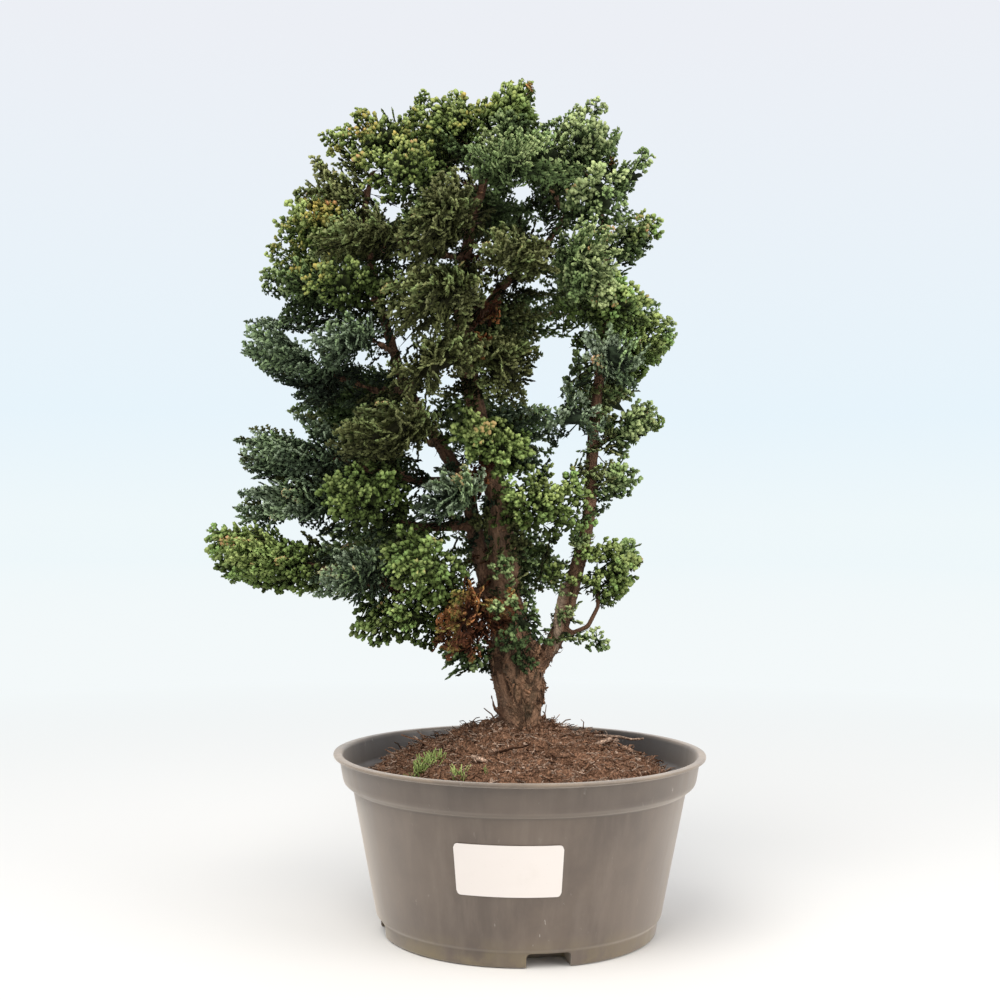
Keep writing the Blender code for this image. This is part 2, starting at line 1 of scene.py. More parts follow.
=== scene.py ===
# %% [markdown]
# # A hinoki cypress bonsai in its nursery pot
# This lesson dresses a measured model of a small potted conifer. The model has the right sizes and
# places, but it is faceted and plain. Each step below takes one piece of the real plant, says what it
# is, and builds a finer one in its place: the moulded pot, the blank label, the bark soil, the wood,
# and 56 sprays of scale leaves. Then it adds what the model leaves out: the shoots between the sprays
# and a few weeds. Lengths in the tables are millimetres, which suit a plant of this size, and MM
# scales them where they are used.

# %% Load the measured model
import json
import math
import random

import bpy
import numpy as np
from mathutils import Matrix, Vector, noise


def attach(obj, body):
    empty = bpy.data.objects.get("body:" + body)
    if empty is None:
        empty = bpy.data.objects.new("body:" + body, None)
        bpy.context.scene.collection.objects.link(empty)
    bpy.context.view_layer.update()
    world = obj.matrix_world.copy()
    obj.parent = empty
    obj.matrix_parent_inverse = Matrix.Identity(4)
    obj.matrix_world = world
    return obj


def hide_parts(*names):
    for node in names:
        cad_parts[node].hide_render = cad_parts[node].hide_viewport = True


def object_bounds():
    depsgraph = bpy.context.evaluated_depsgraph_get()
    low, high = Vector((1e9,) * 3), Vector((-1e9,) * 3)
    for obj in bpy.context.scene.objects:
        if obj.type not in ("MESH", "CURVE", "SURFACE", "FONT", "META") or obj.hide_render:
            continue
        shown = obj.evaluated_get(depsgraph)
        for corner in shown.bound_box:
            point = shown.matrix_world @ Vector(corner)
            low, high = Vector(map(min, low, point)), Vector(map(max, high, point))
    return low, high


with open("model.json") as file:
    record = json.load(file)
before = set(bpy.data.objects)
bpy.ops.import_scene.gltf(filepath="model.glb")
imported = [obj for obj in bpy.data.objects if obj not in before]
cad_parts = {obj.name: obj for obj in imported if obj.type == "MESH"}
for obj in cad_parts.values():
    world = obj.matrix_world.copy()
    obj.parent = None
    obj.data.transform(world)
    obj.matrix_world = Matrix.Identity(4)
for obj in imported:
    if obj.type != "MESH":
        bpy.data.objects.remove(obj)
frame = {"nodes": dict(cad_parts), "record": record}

MM = 0.001
SEED = 7
cad_box = [[float(c) for c in corner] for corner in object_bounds()]
sprays = sorted(name for name in frame["nodes"] if name.startswith("spray_"))
print("model box in mm:", [[round(c / MM, 1) for c in corner] for corner in cad_box])
print(len(sprays), "sprays to dress")

# %% [markdown]
# ## The camera
# The portrait is taken from the height of the lower branches, almost level, with a long lens so that
# the pot's rim stays a thin ellipse. The place and the lens come from fitting the rim and the foot of
# the pot, which are circles on the real thing.

# %% Place the camera
CAMERA_PLACE = (-0.0124, -0.8595, 0.2422)
CAMERA_TILT = 90.705
CAMERA_ROLL = -0.34
CAMERA_LENS = 51.94
CAMERA_SENSOR = 36


def add_camera():
    """A camera on the portrait's line of sight."""
    turn = (math.radians(CAMERA_TILT), math.radians(CAMERA_ROLL), 0)
    bpy.ops.object.camera_add(location=CAMERA_PLACE, rotation=turn)
    camera = bpy.context.object
    camera.name = "portrait_camera"
    camera.data.lens = CAMERA_LENS
    camera.data.sensor_width = CAMERA_SENSOR
    bpy.context.scene.camera = camera
    return camera


print("camera at", [round(c, 3) for c in add_camera().location])

# %% [markdown]
# ## Soft light and a pale floor
# A plant looks its best in broad, soft light, which lets the fine foliage keep detail in its shadows.
# A bright sky gives most of it. One large panel above the front of the plant adds the gentle top
# light that makes the new growth stand out, and a second, weaker one opens the right side.

# %% Build the studio
SKY_HORIZON = (0.860, 0.935, 0.960, 1)
SKY_MIDDLE = (0.800, 0.905, 0.970, 1)
SKY_TOP = (0.840, 0.863, 0.913, 1)
SKY_MIDDLE_AT = 0.07
SKY_TOP_AT = 0.32
FLOOR_NEAR = (0.775, 0.755, 0.72, 1)
FLOOR_FAR = (0.905, 0.947, 0.955, 1)
NO_LIGHT = (0, 0, 0, 1)
FLOOR_RADIUS = 14
FLOOR_DROP = 0.0004
FADE_START = 0.12
FADE_END = 1.3
HORIZON_FROM = 7.0
PANELS = [
    ("top_panel", (-0.5, -0.9, 1.5), (0, 0, 0.3), 1.1, 22, (1.0, 0.97, 0.93)),
    ("side_panel", (1.3, -0.7, 0.6), (0, 0, 0.2), 1.0, 12, (1.0, 0.96, 0.92)),
]


def add_panel(name, place, aim, size, watts, colour):
    """A square light that faces the point it aims at."""
    start, end = Vector(place), Vector(aim)
    turn = (end - start).to_track_quat("-Z", "Y").to_euler()
    bpy.ops.object.light_add(type="AREA", location=start, rotation=turn)
    panel = bpy.context.object
    panel.name = name
    panel.data.size = size
    panel.data.energy = watts
    panel.data.color = colour
    return panel


def add_sky():
    """A pale sky, bluest just above the horizon."""
    world = bpy.data.worlds.new("studio_sky")
    world.use_nodes = True
    nodes, links = world.node_tree.nodes, world.node_tree.links
    place = nodes.new("ShaderNodeTexCoord")
    split = nodes.new("ShaderNodeSeparateXYZ")
    ramp = nodes.new("ShaderNodeValToRGB")
    ramp.color_ramp.elements[0].color = SKY_HORIZON
    ramp.color_ramp.elements[1].color = SKY_TOP
    ramp.color_ramp.elements[1].position = SKY_TOP_AT
    ramp.color_ramp.elements.new(SKY_MIDDLE_AT).color = SKY_MIDDLE
    links.new(place.outputs["Generated"], split.inputs[0])
    links.new(split.outputs["Z"], ramp.inputs["Fac"])
    links.new(ramp.outputs["Color"], nodes["Background"].inputs["Color"])
    nodes["Background"].inputs["Strength"].default_value = 1.0
    bpy.context.scene.world = world
    bpy.context.scene.view_settings.view_transform = "Standard"


def add_floor():
    """A wide pale disc. Far away it shines with the horizon's colour, so that no edge shows."""
    bpy.ops.mesh.primitive_circle_add(vertices=96, radius=FLOOR_RADIUS, fill_type="NGON",
                                      location=(0, 0, -FLOOR_DROP))
    floor = bpy.context.object
    floor.name = "studio_floor"
    bpy.ops.object.transform_apply(location=True)
    paint = bpy.data.materials.new("studio_floor_paint")
    paint.use_nodes = True
    nodes, links = paint.node_tree.nodes, paint.node_tree.links
    shader = nodes["Principled BSDF"]
    place = nodes.new("ShaderNodeTexCoord")
    length = nodes.new("ShaderNodeVectorMath")
    length.operation = "LENGTH"
    reach = nodes.new("ShaderNodeMapRange")
    reach.inputs["From Max"].default_value = HORIZON_FROM
    links.new(place.outputs["Object"], length.inputs[0])
    links.new(length.outputs["Value"], reach.inputs["Value"])
    for socket, near, middle, far in (("Base Color", FLOOR_NEAR, NO_LIGHT, NO_LIGHT),
                                      ("Emission Color", NO_LIGHT, FLOOR_FAR, SKY_HORIZON)):
        ramp = nodes.new("ShaderNodeValToRGB")
        ramp.color_ramp.elements[0].position = FADE_START / HORIZON_FROM
        ramp.color_ramp.elements[0].color = near
        ramp.color_ramp.elements.new(FADE_END / HORIZON_FROM).color = middle
        ramp.color_ramp.elements[2].color = far
        links.new(reach.outputs["Result"], ramp.inputs["Fac"])
        links.new(ramp.outputs["Color"], shader.inputs[socket])
    shader.inputs["Roughness"].default_value = 1.0
    shader.inputs["Specular IOR Level"].default_value = 0.0
    shader.inputs["Emission Strength"].default_value = 1.0
    floor.data.materials.append(paint)


add_sky()
add_floor()
for panel in PANELS:
    add_panel(*panel)

# %% [markdown]
# ## Small helpers
# Blender's operators act on whatever is selected, so every step starts from an empty selection. Most
# pieces here are made of a shape that is modelled once and repeated hundreds of times. Such a shape is
# read into arrays, placed by turning and moving the arrays, and written back as one mesh. The measured
# model's own meshes are only read. They are loose triangles, so a copy has its shared corners joined.


# %% Helpers for selecting, applying and reading shapes
def select_only(*pieces):
    """Leaves these pieces selected, the first of them active, and nothing else."""
    bpy.ops.object.select_all(action="DESELECT")
    for piece in pieces:
        piece.select_set(True)
    if pieces:
        bpy.context.view_layer.objects.active = pieces[0]


def apply_modifiers(piece):
    """Applies every modifier of a piece, from the top."""
    select_only(piece)
    for modifier in list(piece.modifiers):
        bpy.ops.object.modifier_apply(modifier=modifier.name)


def read_mesh(mesh):
    """A mesh's corners and triangles as arrays."""
    mesh.calc_loop_triangles()
    corners = np.empty(len(mesh.vertices) * 3)
    mesh.vertices.foreach_get("co", corners)
    triangles = np.empty(len(mesh.loop_triangles) * 3, dtype=np.int64)
    mesh.loop_triangles.foreach_get("vertices", triangles)
    return corners.reshape(-1, 3), triangles.reshape(-1, 3)


def take_shape(piece):
    """Reads a modelled shape as corners and triangles, and removes the object."""
    corners, triangles = read_mesh(piece.data)
    world = np.array(piece.matrix_world)
    corners = corners @ world[:3, :3].T + world[:3, 3]
    bpy.data.objects.remove(piece)
    return corners, triangles


def write_piece(name, corners, triangles, values=None):
    """Makes one smooth object from arrays, with a number kept at each corner for each named value."""
    mesh = bpy.data.meshes.new(name)
    mesh.vertices.add(len(corners))
    mesh.vertices.foreach_set("co", np.asarray(corners, dtype=np.float32).ravel())
    mesh.loops.add(triangles.size)
    mesh.loops.foreach_set("vertex_index", triangles.astype(np.int32).ravel())
    mesh.polygons.add(len(triangles))
    mesh.polygons.foreach_set("loop_start", np.arange(0, triangles.size, 3, dtype=np.int32))
    for value_name, numbers in (values or {}).items():
        kind = "FLOAT_VECTOR" if numbers.ndim == 2 else "FLOAT"
        layer = mesh.attributes.new(value_name, kind, "POINT")
        field = "vector" if numbers.ndim == 2 else "value"
        layer.data.foreach_set(field, numbers.astype(np.float32).ravel())
    mesh.update(calc_edges=True)
    mesh.shade_smooth()
    piece = bpy.data.objects.new(name, mesh)
    bpy.context.scene.collection.objects.link(piece)
    return piece


MERGE_WITHIN = 1e-6


def merged_node(node):
    """A node's corners and triangles, with the loose triangles' shared corners made one."""
    corners, triangles = read_mesh(frame["nodes"][node].data)
    _, first, index = np.unique(np.round(corners / MERGE_WITHIN).astype(np.int64), axis=0,
                                return_index=True, return_inverse=True)
    triangles = index.reshape(-1)[triangles]
    whole = ((triangles[:, 0] != triangles[:, 1]) & (triangles[:, 1] != triangles[:, 2])
             & (triangles[:, 0] != triangles[:, 2]))
    return corners[first], triangles[whole]


def stacked(groups):
    """Several sets of corners, triangles and values as one."""
    faces, count = [], 0
    for group in groups:
        faces.append(group[1] + count)
        count += len(group[0])
    corners, _, *values = [np.concatenate(column) for column in zip(*groups)]
    return corners, np.concatenate(faces), *values


def dress(piece, nodes, paint):
    """Gives a piece its material, hangs it on the root body, and hides the nodes it stands for."""
    piece.data.materials.clear()
    piece.data.materials.append(paint)
    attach(piece, "root")
    if nodes:
        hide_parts(*nodes)
    print(piece.name, len(piece.data.polygons), "faces")


# %% [markdown]
# ## Shared shader groups
# Real surfaces are never one colour. Two effects return on every material here, so each is a node
# group that is made once: soft patches, which give a mask for dust, damp or age, and fine grain, which
# gives a height for the bump. Both read a position, so a pattern stays fixed to its piece. A material
# then starts from one colour and lays others over it, each through a mask of its own.


# %% Build the shader groups
def new_group(name, inputs, outputs):
    """An empty shader group with its sockets, and its input and output nodes."""
    tree = bpy.data.node_groups.new(name, "ShaderNodeTree")
    for socket, kind, value in inputs:
        made = tree.interface.new_socket(socket, in_out="INPUT", socket_type=kind)
        if value is not None:
            made.default_value = value
    for socket, kind in outputs:
        tree.interface.new_socket(socket, in_out="OUTPUT", socket_type=kind)
    return tree, tree.nodes.new("NodeGroupInput"), tree.nodes.new("NodeGroupOutput")


def make_patches():
    """Soft patches: a mask between 0 and 1 that covers more or less of the surface."""
    tree, given, out = new_group(
        "soft_patches",
        [("Position", "NodeSocketVector", None), ("Scale", "NodeSocketFloat", 40.0),
         ("Low", "NodeSocketFloat", 0.4), ("High", "NodeSocketFloat", 0.65)],
        [("Mask", "NodeSocketFloat")])
    cloud = tree.nodes.new("ShaderNodeTexNoise")
    cloud.inputs["Detail"].default_value = 6.0
    cloud.inputs["Roughness"].default_value = 0.6
    spread = tree.nodes.new("ShaderNodeMapRange")
    spread.interpolation_type = "SMOOTHSTEP"
    tree.links.new(given.outputs["Position"], cloud.inputs["Vector"])
    tree.links.new(given.outputs["Scale"], cloud.inputs["Scale"])
    tree.links.new(cloud.outputs["Fac"], spread.inputs["Value"])
    tree.links.new(given.outputs["Low"], spread.inputs["From Min"])
    tree.links.new(given.outputs["High"], spread.inputs["From Max"])
    tree.links.new(spread.outputs["Result"], out.inputs["Mask"])
    return tree


def make_grain():
    """Fine grain: a height from small cells and a finer noise."""
    tree, given, out = new_group(
        "fine_grain",
        [("Position", "NodeSocketVector", None), ("Scale", "NodeSocketFloat", 400.0),
         ("Cells", "NodeSocketFloat", 0.5)],
        [("Height", "NodeSocketFloat")])
    cells = tree.nodes.new("ShaderNodeTexVoronoi")
    fine = tree.nodes.new("ShaderNodeTexNoise")
    fine.inputs["Detail"].default_value = 4.0
    blend = tree.nodes.new("ShaderNodeMix")
    for node in (cells, fine):
        tree.links.new(given.outputs["Position"], node.inputs["Vector"])
        tree.links.new(given.outputs["Scale"], node.inputs["Scale"])
    tree.links.new(given.outputs["Cells"], blend.inputs[0])
    tree.links.new(fine.outputs["Fac"], blend.inputs[2])
    tree.links.new(cells.outputs["Distance"], blend.inputs[3])
    tree.links.new(blend.outputs[0], out.inputs["Height"])
    return tree


patches_group = make_patches()
grain_group = make_grain()


class Paint:
    """A material being built: short names for its nodes, and helpers that add and join them."""

    def __init__(self, name, roughness, specular=0.5):
        self.material = bpy.data.materials.new(name)
        self.material.use_nodes = True
        self.nodes = self.material.node_tree.nodes
        self.links = self.material.node_tree.links
        self.shader = self.nodes["Principled BSDF"]
        self.shader.inputs["Roughness"].default_value = roughness
        self.shader.inputs["Specular IOR Level"].default_value = specular

    def position(self):
        """Where a point of the surface is on the object."""
        return self.nodes.new("ShaderNodeTexCoord").outputs["Object"]

    def value(self, name, output="Fac"):
        """A value kept in the mesh."""
        node = self.nodes.new("ShaderNodeAttribute")
        node.attribute_name = name
        return node.outputs[output]

    def stretched(self, vector, scale):
        """A position stretched along its axes."""
        node = self.nodes.new("ShaderNodeMapping")
        node.inputs["Scale"].default_value = scale
        self.links.new(vector, node.inputs["Vector"])
        return node.outputs["Vector"]

    def patches(self, vector, scale, low, high):
        """A mask of soft patches."""
        node = self.nodes.new("ShaderNodeGroup")
        node.node_tree = patches_group
        self.links.new(vector, node.inputs["Position"])
        for socket, number in (("Scale", scale), ("Low", low), ("High", high)):
            node.inputs[socket].default_value = number
        return node.outputs["Mask"]

    def grain(self, vector, scale, cells):
        """A height of fine grain."""
        node = self.nodes.new("ShaderNodeGroup")
        node.node_tree = grain_group
        self.links.new(vector, node.inputs["Position"])
        node.inputs["Scale"].default_value = scale
        node.inputs["Cells"].default_value = cells
        return node.outputs["Height"]

    def mix(self, share, first, second):
        """Blends two colours, each a socket or a plain colour, by a share or a mask."""
        node = self.nodes.new("ShaderNodeMix")
        node.data_type = "RGBA"
        for socket, given in ((node.inputs[0], share), (node.inputs[6], first), (node.inputs[7], second)):
            if isinstance(given, bpy.types.NodeSocket):
                self.links.new(given, socket)
            elif isinstance(given, float):
                socket.default_value = given
            else:
                socket.default_value = (*given, 1)
        return node.outputs[2]

    def layered(self, colour, colours, masks):
        """Lays named colours over a first one, each by its own mask."""
        for name, mask in masks.items():
            colour = self.mix(mask, colour, colours[name])
        return colour

    def maths(self, operation, first, second):
        """One sum on masks and numbers."""
        node = self.nodes.new("ShaderNodeMath")
        node.operation = operation
        for socket, given in zip(node.inputs, (first, second)):
            if isinstance(given, bpy.types.NodeSocket):
                self.links.new(given, socket)
            else:
                socket.default_value = given
        return node.outputs[0]

    def span(self, given, low, high, to_low=0.0, to_high=1.0):
        """A mask or number carried from one range to another."""
        node = self.nodes.new("ShaderNodeMapRange")
        self.links.new(given, node.inputs["Value"])
        ranges = {"From Min": low, "From Max": high, "To Min": to_low, "To Max": to_high}
        for socket, number in ranges.items():
            node.inputs[socket].default_value = number
        return node.outputs["Result"]

    def height(self, vector, axis="Z"):
        """One coordinate of a position."""
        node = self.nodes.new("ShaderNodeSeparateXYZ")
        self.links.new(vector, node.inputs[0])
        return node.outputs[axis]

    def finish(self, colour, bump=None, strength=0.3, distance=0.0005, roughness=None):
        """Joins the colour, the bump and the roughness to the shader."""
        self.links.new(colour, self.shader.inputs["Base Color"])
        if roughness is not None:
            self.links.new(roughness, self.shader.inputs["Roughness"])
        if bump is not None:
            node = self.nodes.new("ShaderNodeBump")
            node.inputs["Strength"].default_value = strength
            node.inputs["Distance"].default_value = distance
            self.links.new(bump, node.inputs["Height"])
            self.links.new(node.outputs["Normal"], self.shader.inputs["Normal"])
        return self.material


print("shader groups:", [tree.name for tree in bpy.data.node_groups])

# %% [markdown]
# ## The pot
# The pot is one thin moulding: a tapered wall, a collar, a lip, and a foot ring with four channels
# that let water run out. It could be spun from a profile, but drawing the profile by extruding a ring
# shows each step of it. The ring starts under the pot, climbs the outside, turns over the lip and goes
# down inside. Corners are rounded in the list first, since nothing moulded has a sharp edge.

# %% Model the pot
POT_SIDES = 176
POT_OUTSIDE = [(60, 0), (80.6, 0), (81.2, 0.9), (82.0, 8.3), (84.2, 10.5), (98.4, 83.6), (100.6, 84.8),
               (103.6, 87.4), (104.4, 89.8), (106.3, 101.2), (109.9, 102.2), (109.9, 103.9)]
POT_INSIDE = [(105.4, 103.9), (104.6, 102.8), (102.8, 90.2), (101.8, 88.2), (97.2, 86.4), (96.6, 85.0),
              (83.3, 14.0), (80.6, 10.0), (60, 10.0)]
POT_CORNER = 0.8
CHANNEL_ANGLES = (-79.0, 11.0, 101.0, 191.0)
CHANNEL_SIZE = (31, 25, 12)
CHANNEL_REACH = 77.5
CHANNEL_HEIGHT = 2.0
CHANNEL_CORNER = 2.6
DRAIN_REACH = 69
DRAIN_HEIGHT = 9
DRAIN_RADIUS = 3.5
DRAIN_DEPTH = 6
WALL_FOOT = (84.2, 10.5)
WALL_TOP = (98.4, 83.6)


def wall_radius(height):
    """Outer radius of the tapered wall, in millimetres."""
    share = (height - WALL_FOOT[1]) / (WALL_TOP[1] - WALL_FOOT[1])
    return WALL_FOOT[0] + share * (WALL_TOP[0] - WALL_FOOT[0])


def softened(outline, reach):
    """The outline with each corner cut into a short curve of three points."""
    points = [outline[0]]
    for before, corner, after in zip(outline, outline[1:], outline[2:]):
        a, b, c = (np.array(p, dtype=float) for p in (before, corner, after))
        near = b + (a - b) / np.linalg.norm(a - b) * min(reach, np.linalg.norm(a - b) * 0.35)
        far = b + (c - b) / np.linalg.norm(c - b) * min(reach, np.linalg.norm(c - b) * 0.35)
        points += [tuple(near), tuple(0.25 * near + 0.5 * b + 0.25 * far), tuple(far)]
    return points + [outline[-1]]


def climb(outline, sides):
    """Extrudes a ring from point to point of an outline of (radius, height)."""
    select_only()
    radius, height = outline[0]
    bpy.ops.mesh.primitive_circle_add(vertices=sides, radius=radius * MM, fill_type="NGON",
                                      location=(0, 0, height * MM))
    piece = bpy.context.object
    bpy.ops.object.transform_apply(location=True)
    bpy.ops.object.mode_set(mode="EDIT")
    bpy.ops.mesh.select_all(action="SELECT")
    bpy.ops.mesh.region_to_loop()
    for (near, low), (far, high) in zip(outline, outline[1:]):
        bpy.ops.mesh.extrude_region_move()
        bpy.ops.transform.resize(value=(far / near, far / near, 1), center_override=(0, 0, low * MM))
        bpy.ops.transform.translate(value=(0, 0, (high - low) * MM))
    bpy.ops.mesh.edge_face_add()
    bpy.ops.mesh.select_all(action="SELECT")
    bpy.ops.mesh.normals_make_consistent(inside=False)
    bpy.ops.object.mode_set(mode="OBJECT")
    return piece


def cut_with(piece, cutter):
    """Cuts one shape out of a piece and removes the cutter."""
    cut = piece.modifiers.new("cut", "BOOLEAN")
    cut.operation = "DIFFERENCE"
    cut.object = cutter
    apply_modifiers(piece)
    bpy.data.objects.remove(cutter)


def add_channels(pot):
    """Cuts each channel through the foot ring, and the drain hole above it."""
    for degrees in CHANNEL_ANGLES:
        angle = math.radians(degrees)
        out = Vector((math.cos(angle), math.sin(angle), 0))
        place = out * CHANNEL_REACH * MM + Vector((0, 0, CHANNEL_HEIGHT * MM))
        select_only()
        bpy.ops.mesh.primitive_cube_add(size=1, location=place, rotation=(0, 0, angle),
                                        scale=[side * MM for side in CHANNEL_SIZE])
        channel = bpy.context.object
        bpy.ops.object.transform_apply(location=False, rotation=False, scale=True)
        soft = channel.modifiers.new("soft", "BEVEL")
        soft.width = CHANNEL_CORNER * MM
        soft.segments = 4
        apply_modifiers(channel)
        cut_with(pot, channel)
        place = out * DRAIN_REACH * MM + Vector((0, 0, DRAIN_HEIGHT * MM))
        select_only()
        bpy.ops.mesh.primitive_cylinder_add(vertices=24, radius=DRAIN_RADIUS * MM, depth=DRAIN_DEPTH * MM,
                                            location=place)
        cut_with(pot, bpy.context.object)


def make_pot():
    """The whole pot, smooth but for its real edges. Each corner keeps how much it faces inwards."""
    pot = climb(softened(POT_OUTSIDE + POT_INSIDE, POT_CORNER), POT_SIDES)
    pot.name = "nursery_pot"
    add_channels(pot)
    select_only(pot)
    bpy.ops.object.shade_smooth_by_angle(angle=math.radians(32))
    layer = pot.data.attributes.new("inner", "FLOAT", "POINT")
    for vert, value in zip(pot.data.vertices, layer.data):
        value.value = min(1.0, max(0.0, -2.0 * vert.normal.dot(vert.co.xy.normalized().to_3d())))
    return pot


pot_piece = make_pot()
print("pot rim radius in mm:", round(max(v.co.x for v in pot_piece.data.vertices) / MM, 1))

# %% [markdown]
# ### The pot's plastic
# Old nursery plastic was black once. Sun, watering and potting soil leave it a warm grey: soft clouds
# and faint runs of dust down the wall, a pale film on the lip, soil splashed on the foot, and small
# scuffs. Painted shade darkens the collar from its underside up, and a darker painted line of shade
# sits in the step under it. A little sheen does for the dust what it does for velvet.


# %% Paint the pot
# The collar and groove colours are painted shade.
POT_COLOURS = {
    "plastic": (0.083, 0.060, 0.045), "faded": (0.121, 0.089, 0.066), "runs": (0.200, 0.158, 0.125),
    "collar_shade": (0.040, 0.031, 0.026), "inside": (0.056, 0.047, 0.041), "lip": (0.30, 0.225, 0.155),
    "groove_shade": (0.040, 0.032, 0.026), "scuffs": (0.38, 0.34, 0.30), "splashes": (0.175, 0.135, 0.072),
}
POT_SHEEN = (1.0, 0.88, 0.76, 1)


def plastic_paint():
    """Dusty dark plastic, with painted shade on the collar and in the step under it."""
    paint = Paint("dusty_pot_plastic", 0.5, 0.5)
    spot = paint.position()
    up = paint.height(spot)
    runs = paint.patches(paint.stretched(spot, (1, 1, 0.07)), 110.0, 0.40, 0.70)
    cloud = paint.patches(spot, 20.0, 0.36, 0.66)
    dusty = paint.span(cloud, 0.0, 1.0, 0.25, 0.8)
    over, under = paint.span(up, 82.2 * MM, 84.0 * MM), paint.span(up, 86.6 * MM, 84.6 * MM)
    patch = paint.span(paint.patches(spot, 30.0, 0.52, 0.60), 0.0, 1.0, 0.1, 0.6)
    marks = paint.patches(paint.stretched(spot, (1.0, 1.0, 0.35)), 330.0, 0.665, 0.70)
    film = paint.maths("MULTIPLY", paint.span(up, 18 * MM, 3 * MM), paint.patches(spot, 48.0, 0.35, 0.62))
    masks = {
        "runs": paint.maths("MULTIPLY", runs, 0.34),
        # Painted shade: the collar is darkened by up to a quarter from its underside up.
        "collar_shade": paint.span(up, 84 * MM, 90 * MM, 0.0, 0.25),
        "inside": paint.maths("MULTIPLY", paint.value("inner"), 0.85),
        "lip": paint.maths("MULTIPLY", paint.span(up, 101.6 * MM, 103.6 * MM), dusty),
        # Painted shade: a dark line in the step under the collar.
        "groove_shade": paint.maths("MULTIPLY", paint.maths("MULTIPLY", over, under), 0.5),
        "scuffs": paint.maths("MULTIPLY", marks, patch),
        "splashes": paint.maths("MULTIPLY", film, 0.8),
    }
    colour = paint.mix(cloud, POT_COLOURS["plastic"], POT_COLOURS["faded"])
    colour = paint.layered(colour, POT_COLOURS, masks)
    rough = paint.span(runs, 0.0, 1.0, 0.40, 0.56)
    paint.shader.inputs["Coat Weight"].default_value = 0.35
    paint.shader.inputs["Coat Roughness"].default_value = 0.42
    paint.shader.inputs["Sheen Weight"].default_value = 0.5
    paint.shader.inputs["Sheen Tint"].default_value = POT_SHEEN
    paint.shader.inputs["Sheen Roughness"].default_value = 0.45
    return paint.finish(colour, paint.grain(spot, 900.0, 0.35), 0.10, 0.0003, rough)


dress(pot_piece, ["pot"], plastic_paint())

# %% [markdown]
# ## The label
# A plain white sticker follows the wall. It starts as a flat grid, because a grid bends smoothly. Its
# corners are rounded by drawing in the columns near both ends, the sheet is wrapped onto the tapered
# wall, and a Solidify modifier gives it the thickness of film. Nothing is printed on it.

# %% Model and paint the label
LABEL_ANGLES = (-112.3, -76.3)
LABEL_HEIGHTS = (40.5, 69.0)
LABEL_CORNER = 2.4
LABEL_THICK = 0.35
LABEL_LIFT = 0.3
LABEL_WAVES = 0.12
LABEL_COLOURS = {
    "white": (0.735, 0.672, 0.625), "grime": (0.64, 0.58, 0.52), "specks": (0.45, 0.40, 0.34),
}


def make_label():
    """The blank sticker on the front of the wall."""
    select_only()
    bpy.ops.mesh.primitive_grid_add(x_subdivisions=64, y_subdivisions=20, size=1)
    label = bpy.context.object
    label.name = "blank_label"
    middle = sum(LABEL_HEIGHTS) / 2
    half_tall = (LABEL_HEIGHTS[1] - LABEL_HEIGHTS[0]) / 2
    half_wide = math.radians(LABEL_ANGLES[1] - LABEL_ANGLES[0]) * wall_radius(middle) / 2
    centre = math.radians(sum(LABEL_ANGLES) / 2)
    for vert in label.data.vertices:
        across, up = vert.co.x * 2, vert.co.y * 2
        across = math.copysign(abs(across) ** 0.8, across) * half_wide
        into = max(0.0, abs(across) - (half_wide - LABEL_CORNER)) / LABEL_CORNER
        inset = LABEL_CORNER * (1 - math.sqrt(max(0.0, 1 - into * into)))
        height = middle + up * (half_tall - inset)
        angle = centre + across / wall_radius(middle)
        lift = LABEL_LIFT + LABEL_WAVES * noise.noise(Vector((across * 0.05, up, 3)))
        radius = (wall_radius(height) + lift) * MM
        vert.co = (radius * math.cos(angle), radius * math.sin(angle), height * MM)
    film = label.modifiers.new("film", "SOLIDIFY")
    film.thickness = LABEL_THICK * MM
    film.offset = 1.0
    apply_modifiers(label)
    bpy.ops.object.mode_set(mode="EDIT")
    bpy.ops.mesh.select_all(action="SELECT")
    bpy.ops.mesh.normals_make_consistent(inside=False)
    bpy.ops.object.mode_set(mode="OBJECT")
    bpy.ops.object.shade_smooth_by_angle(angle=math.radians(40))
    return label


def label_paint():
    """Satin white film with a little grime."""
    paint = Paint("label_film", 0.38, 0.5)
    spot = paint.position()
    masks = {
        "grime": paint.maths("MULTIPLY", paint.patches(spot, 60.0, 0.5, 0.85), 0.45),
        "specks": paint.maths("MULTIPLY", paint.patches(spot, 700.0, 0.66, 0.74), 0.4),
    }
    colour = paint.layered(LABEL_COLOURS["white"], LABEL_COLOURS, masks)
    return paint.finish(colour, paint.grain(spot, 600.0, 0.1), 0.05, 0.0002)


dress(make_label(), ["label"], label_paint())

# %% [markdown]
# ## The soil
# The tree stands in a mound of bark, peat and fine roots. A mound with thousands of loose bits is
# easiest to build in two layers. Rings drawn in over the pot's mouth make the mound, which gets its
# lumps by noise. Then crumbs, bark flakes and curly fibres, modelled in a few forms each, are strewn
# over it.

# %% Model the mound
MOUND = [(0, 121.0), (16, 119.5), (37, 113.0), (56, 105.3), (74, 98.2), (88, 90.5), (95.6, 82.5)]
MOUND_SIDE = [(60, 10.4), (80.0, 10.4), (82.6, 14.0), (95.6, 80.6)]
MOUND_RINGS = 46
MOUND_SIDES = 160
MOUND_CALM_FROM = 95.0
MOUND_CALM_WIDTH = 9
LOW_LUMPS = 3.4
FINE_LUMPS = 2.4
KNOBS = 2.0
BANK_RISE = 3.0
BANK_PLACE = (-84, -36)
BANK_SIZE = (14, 22)


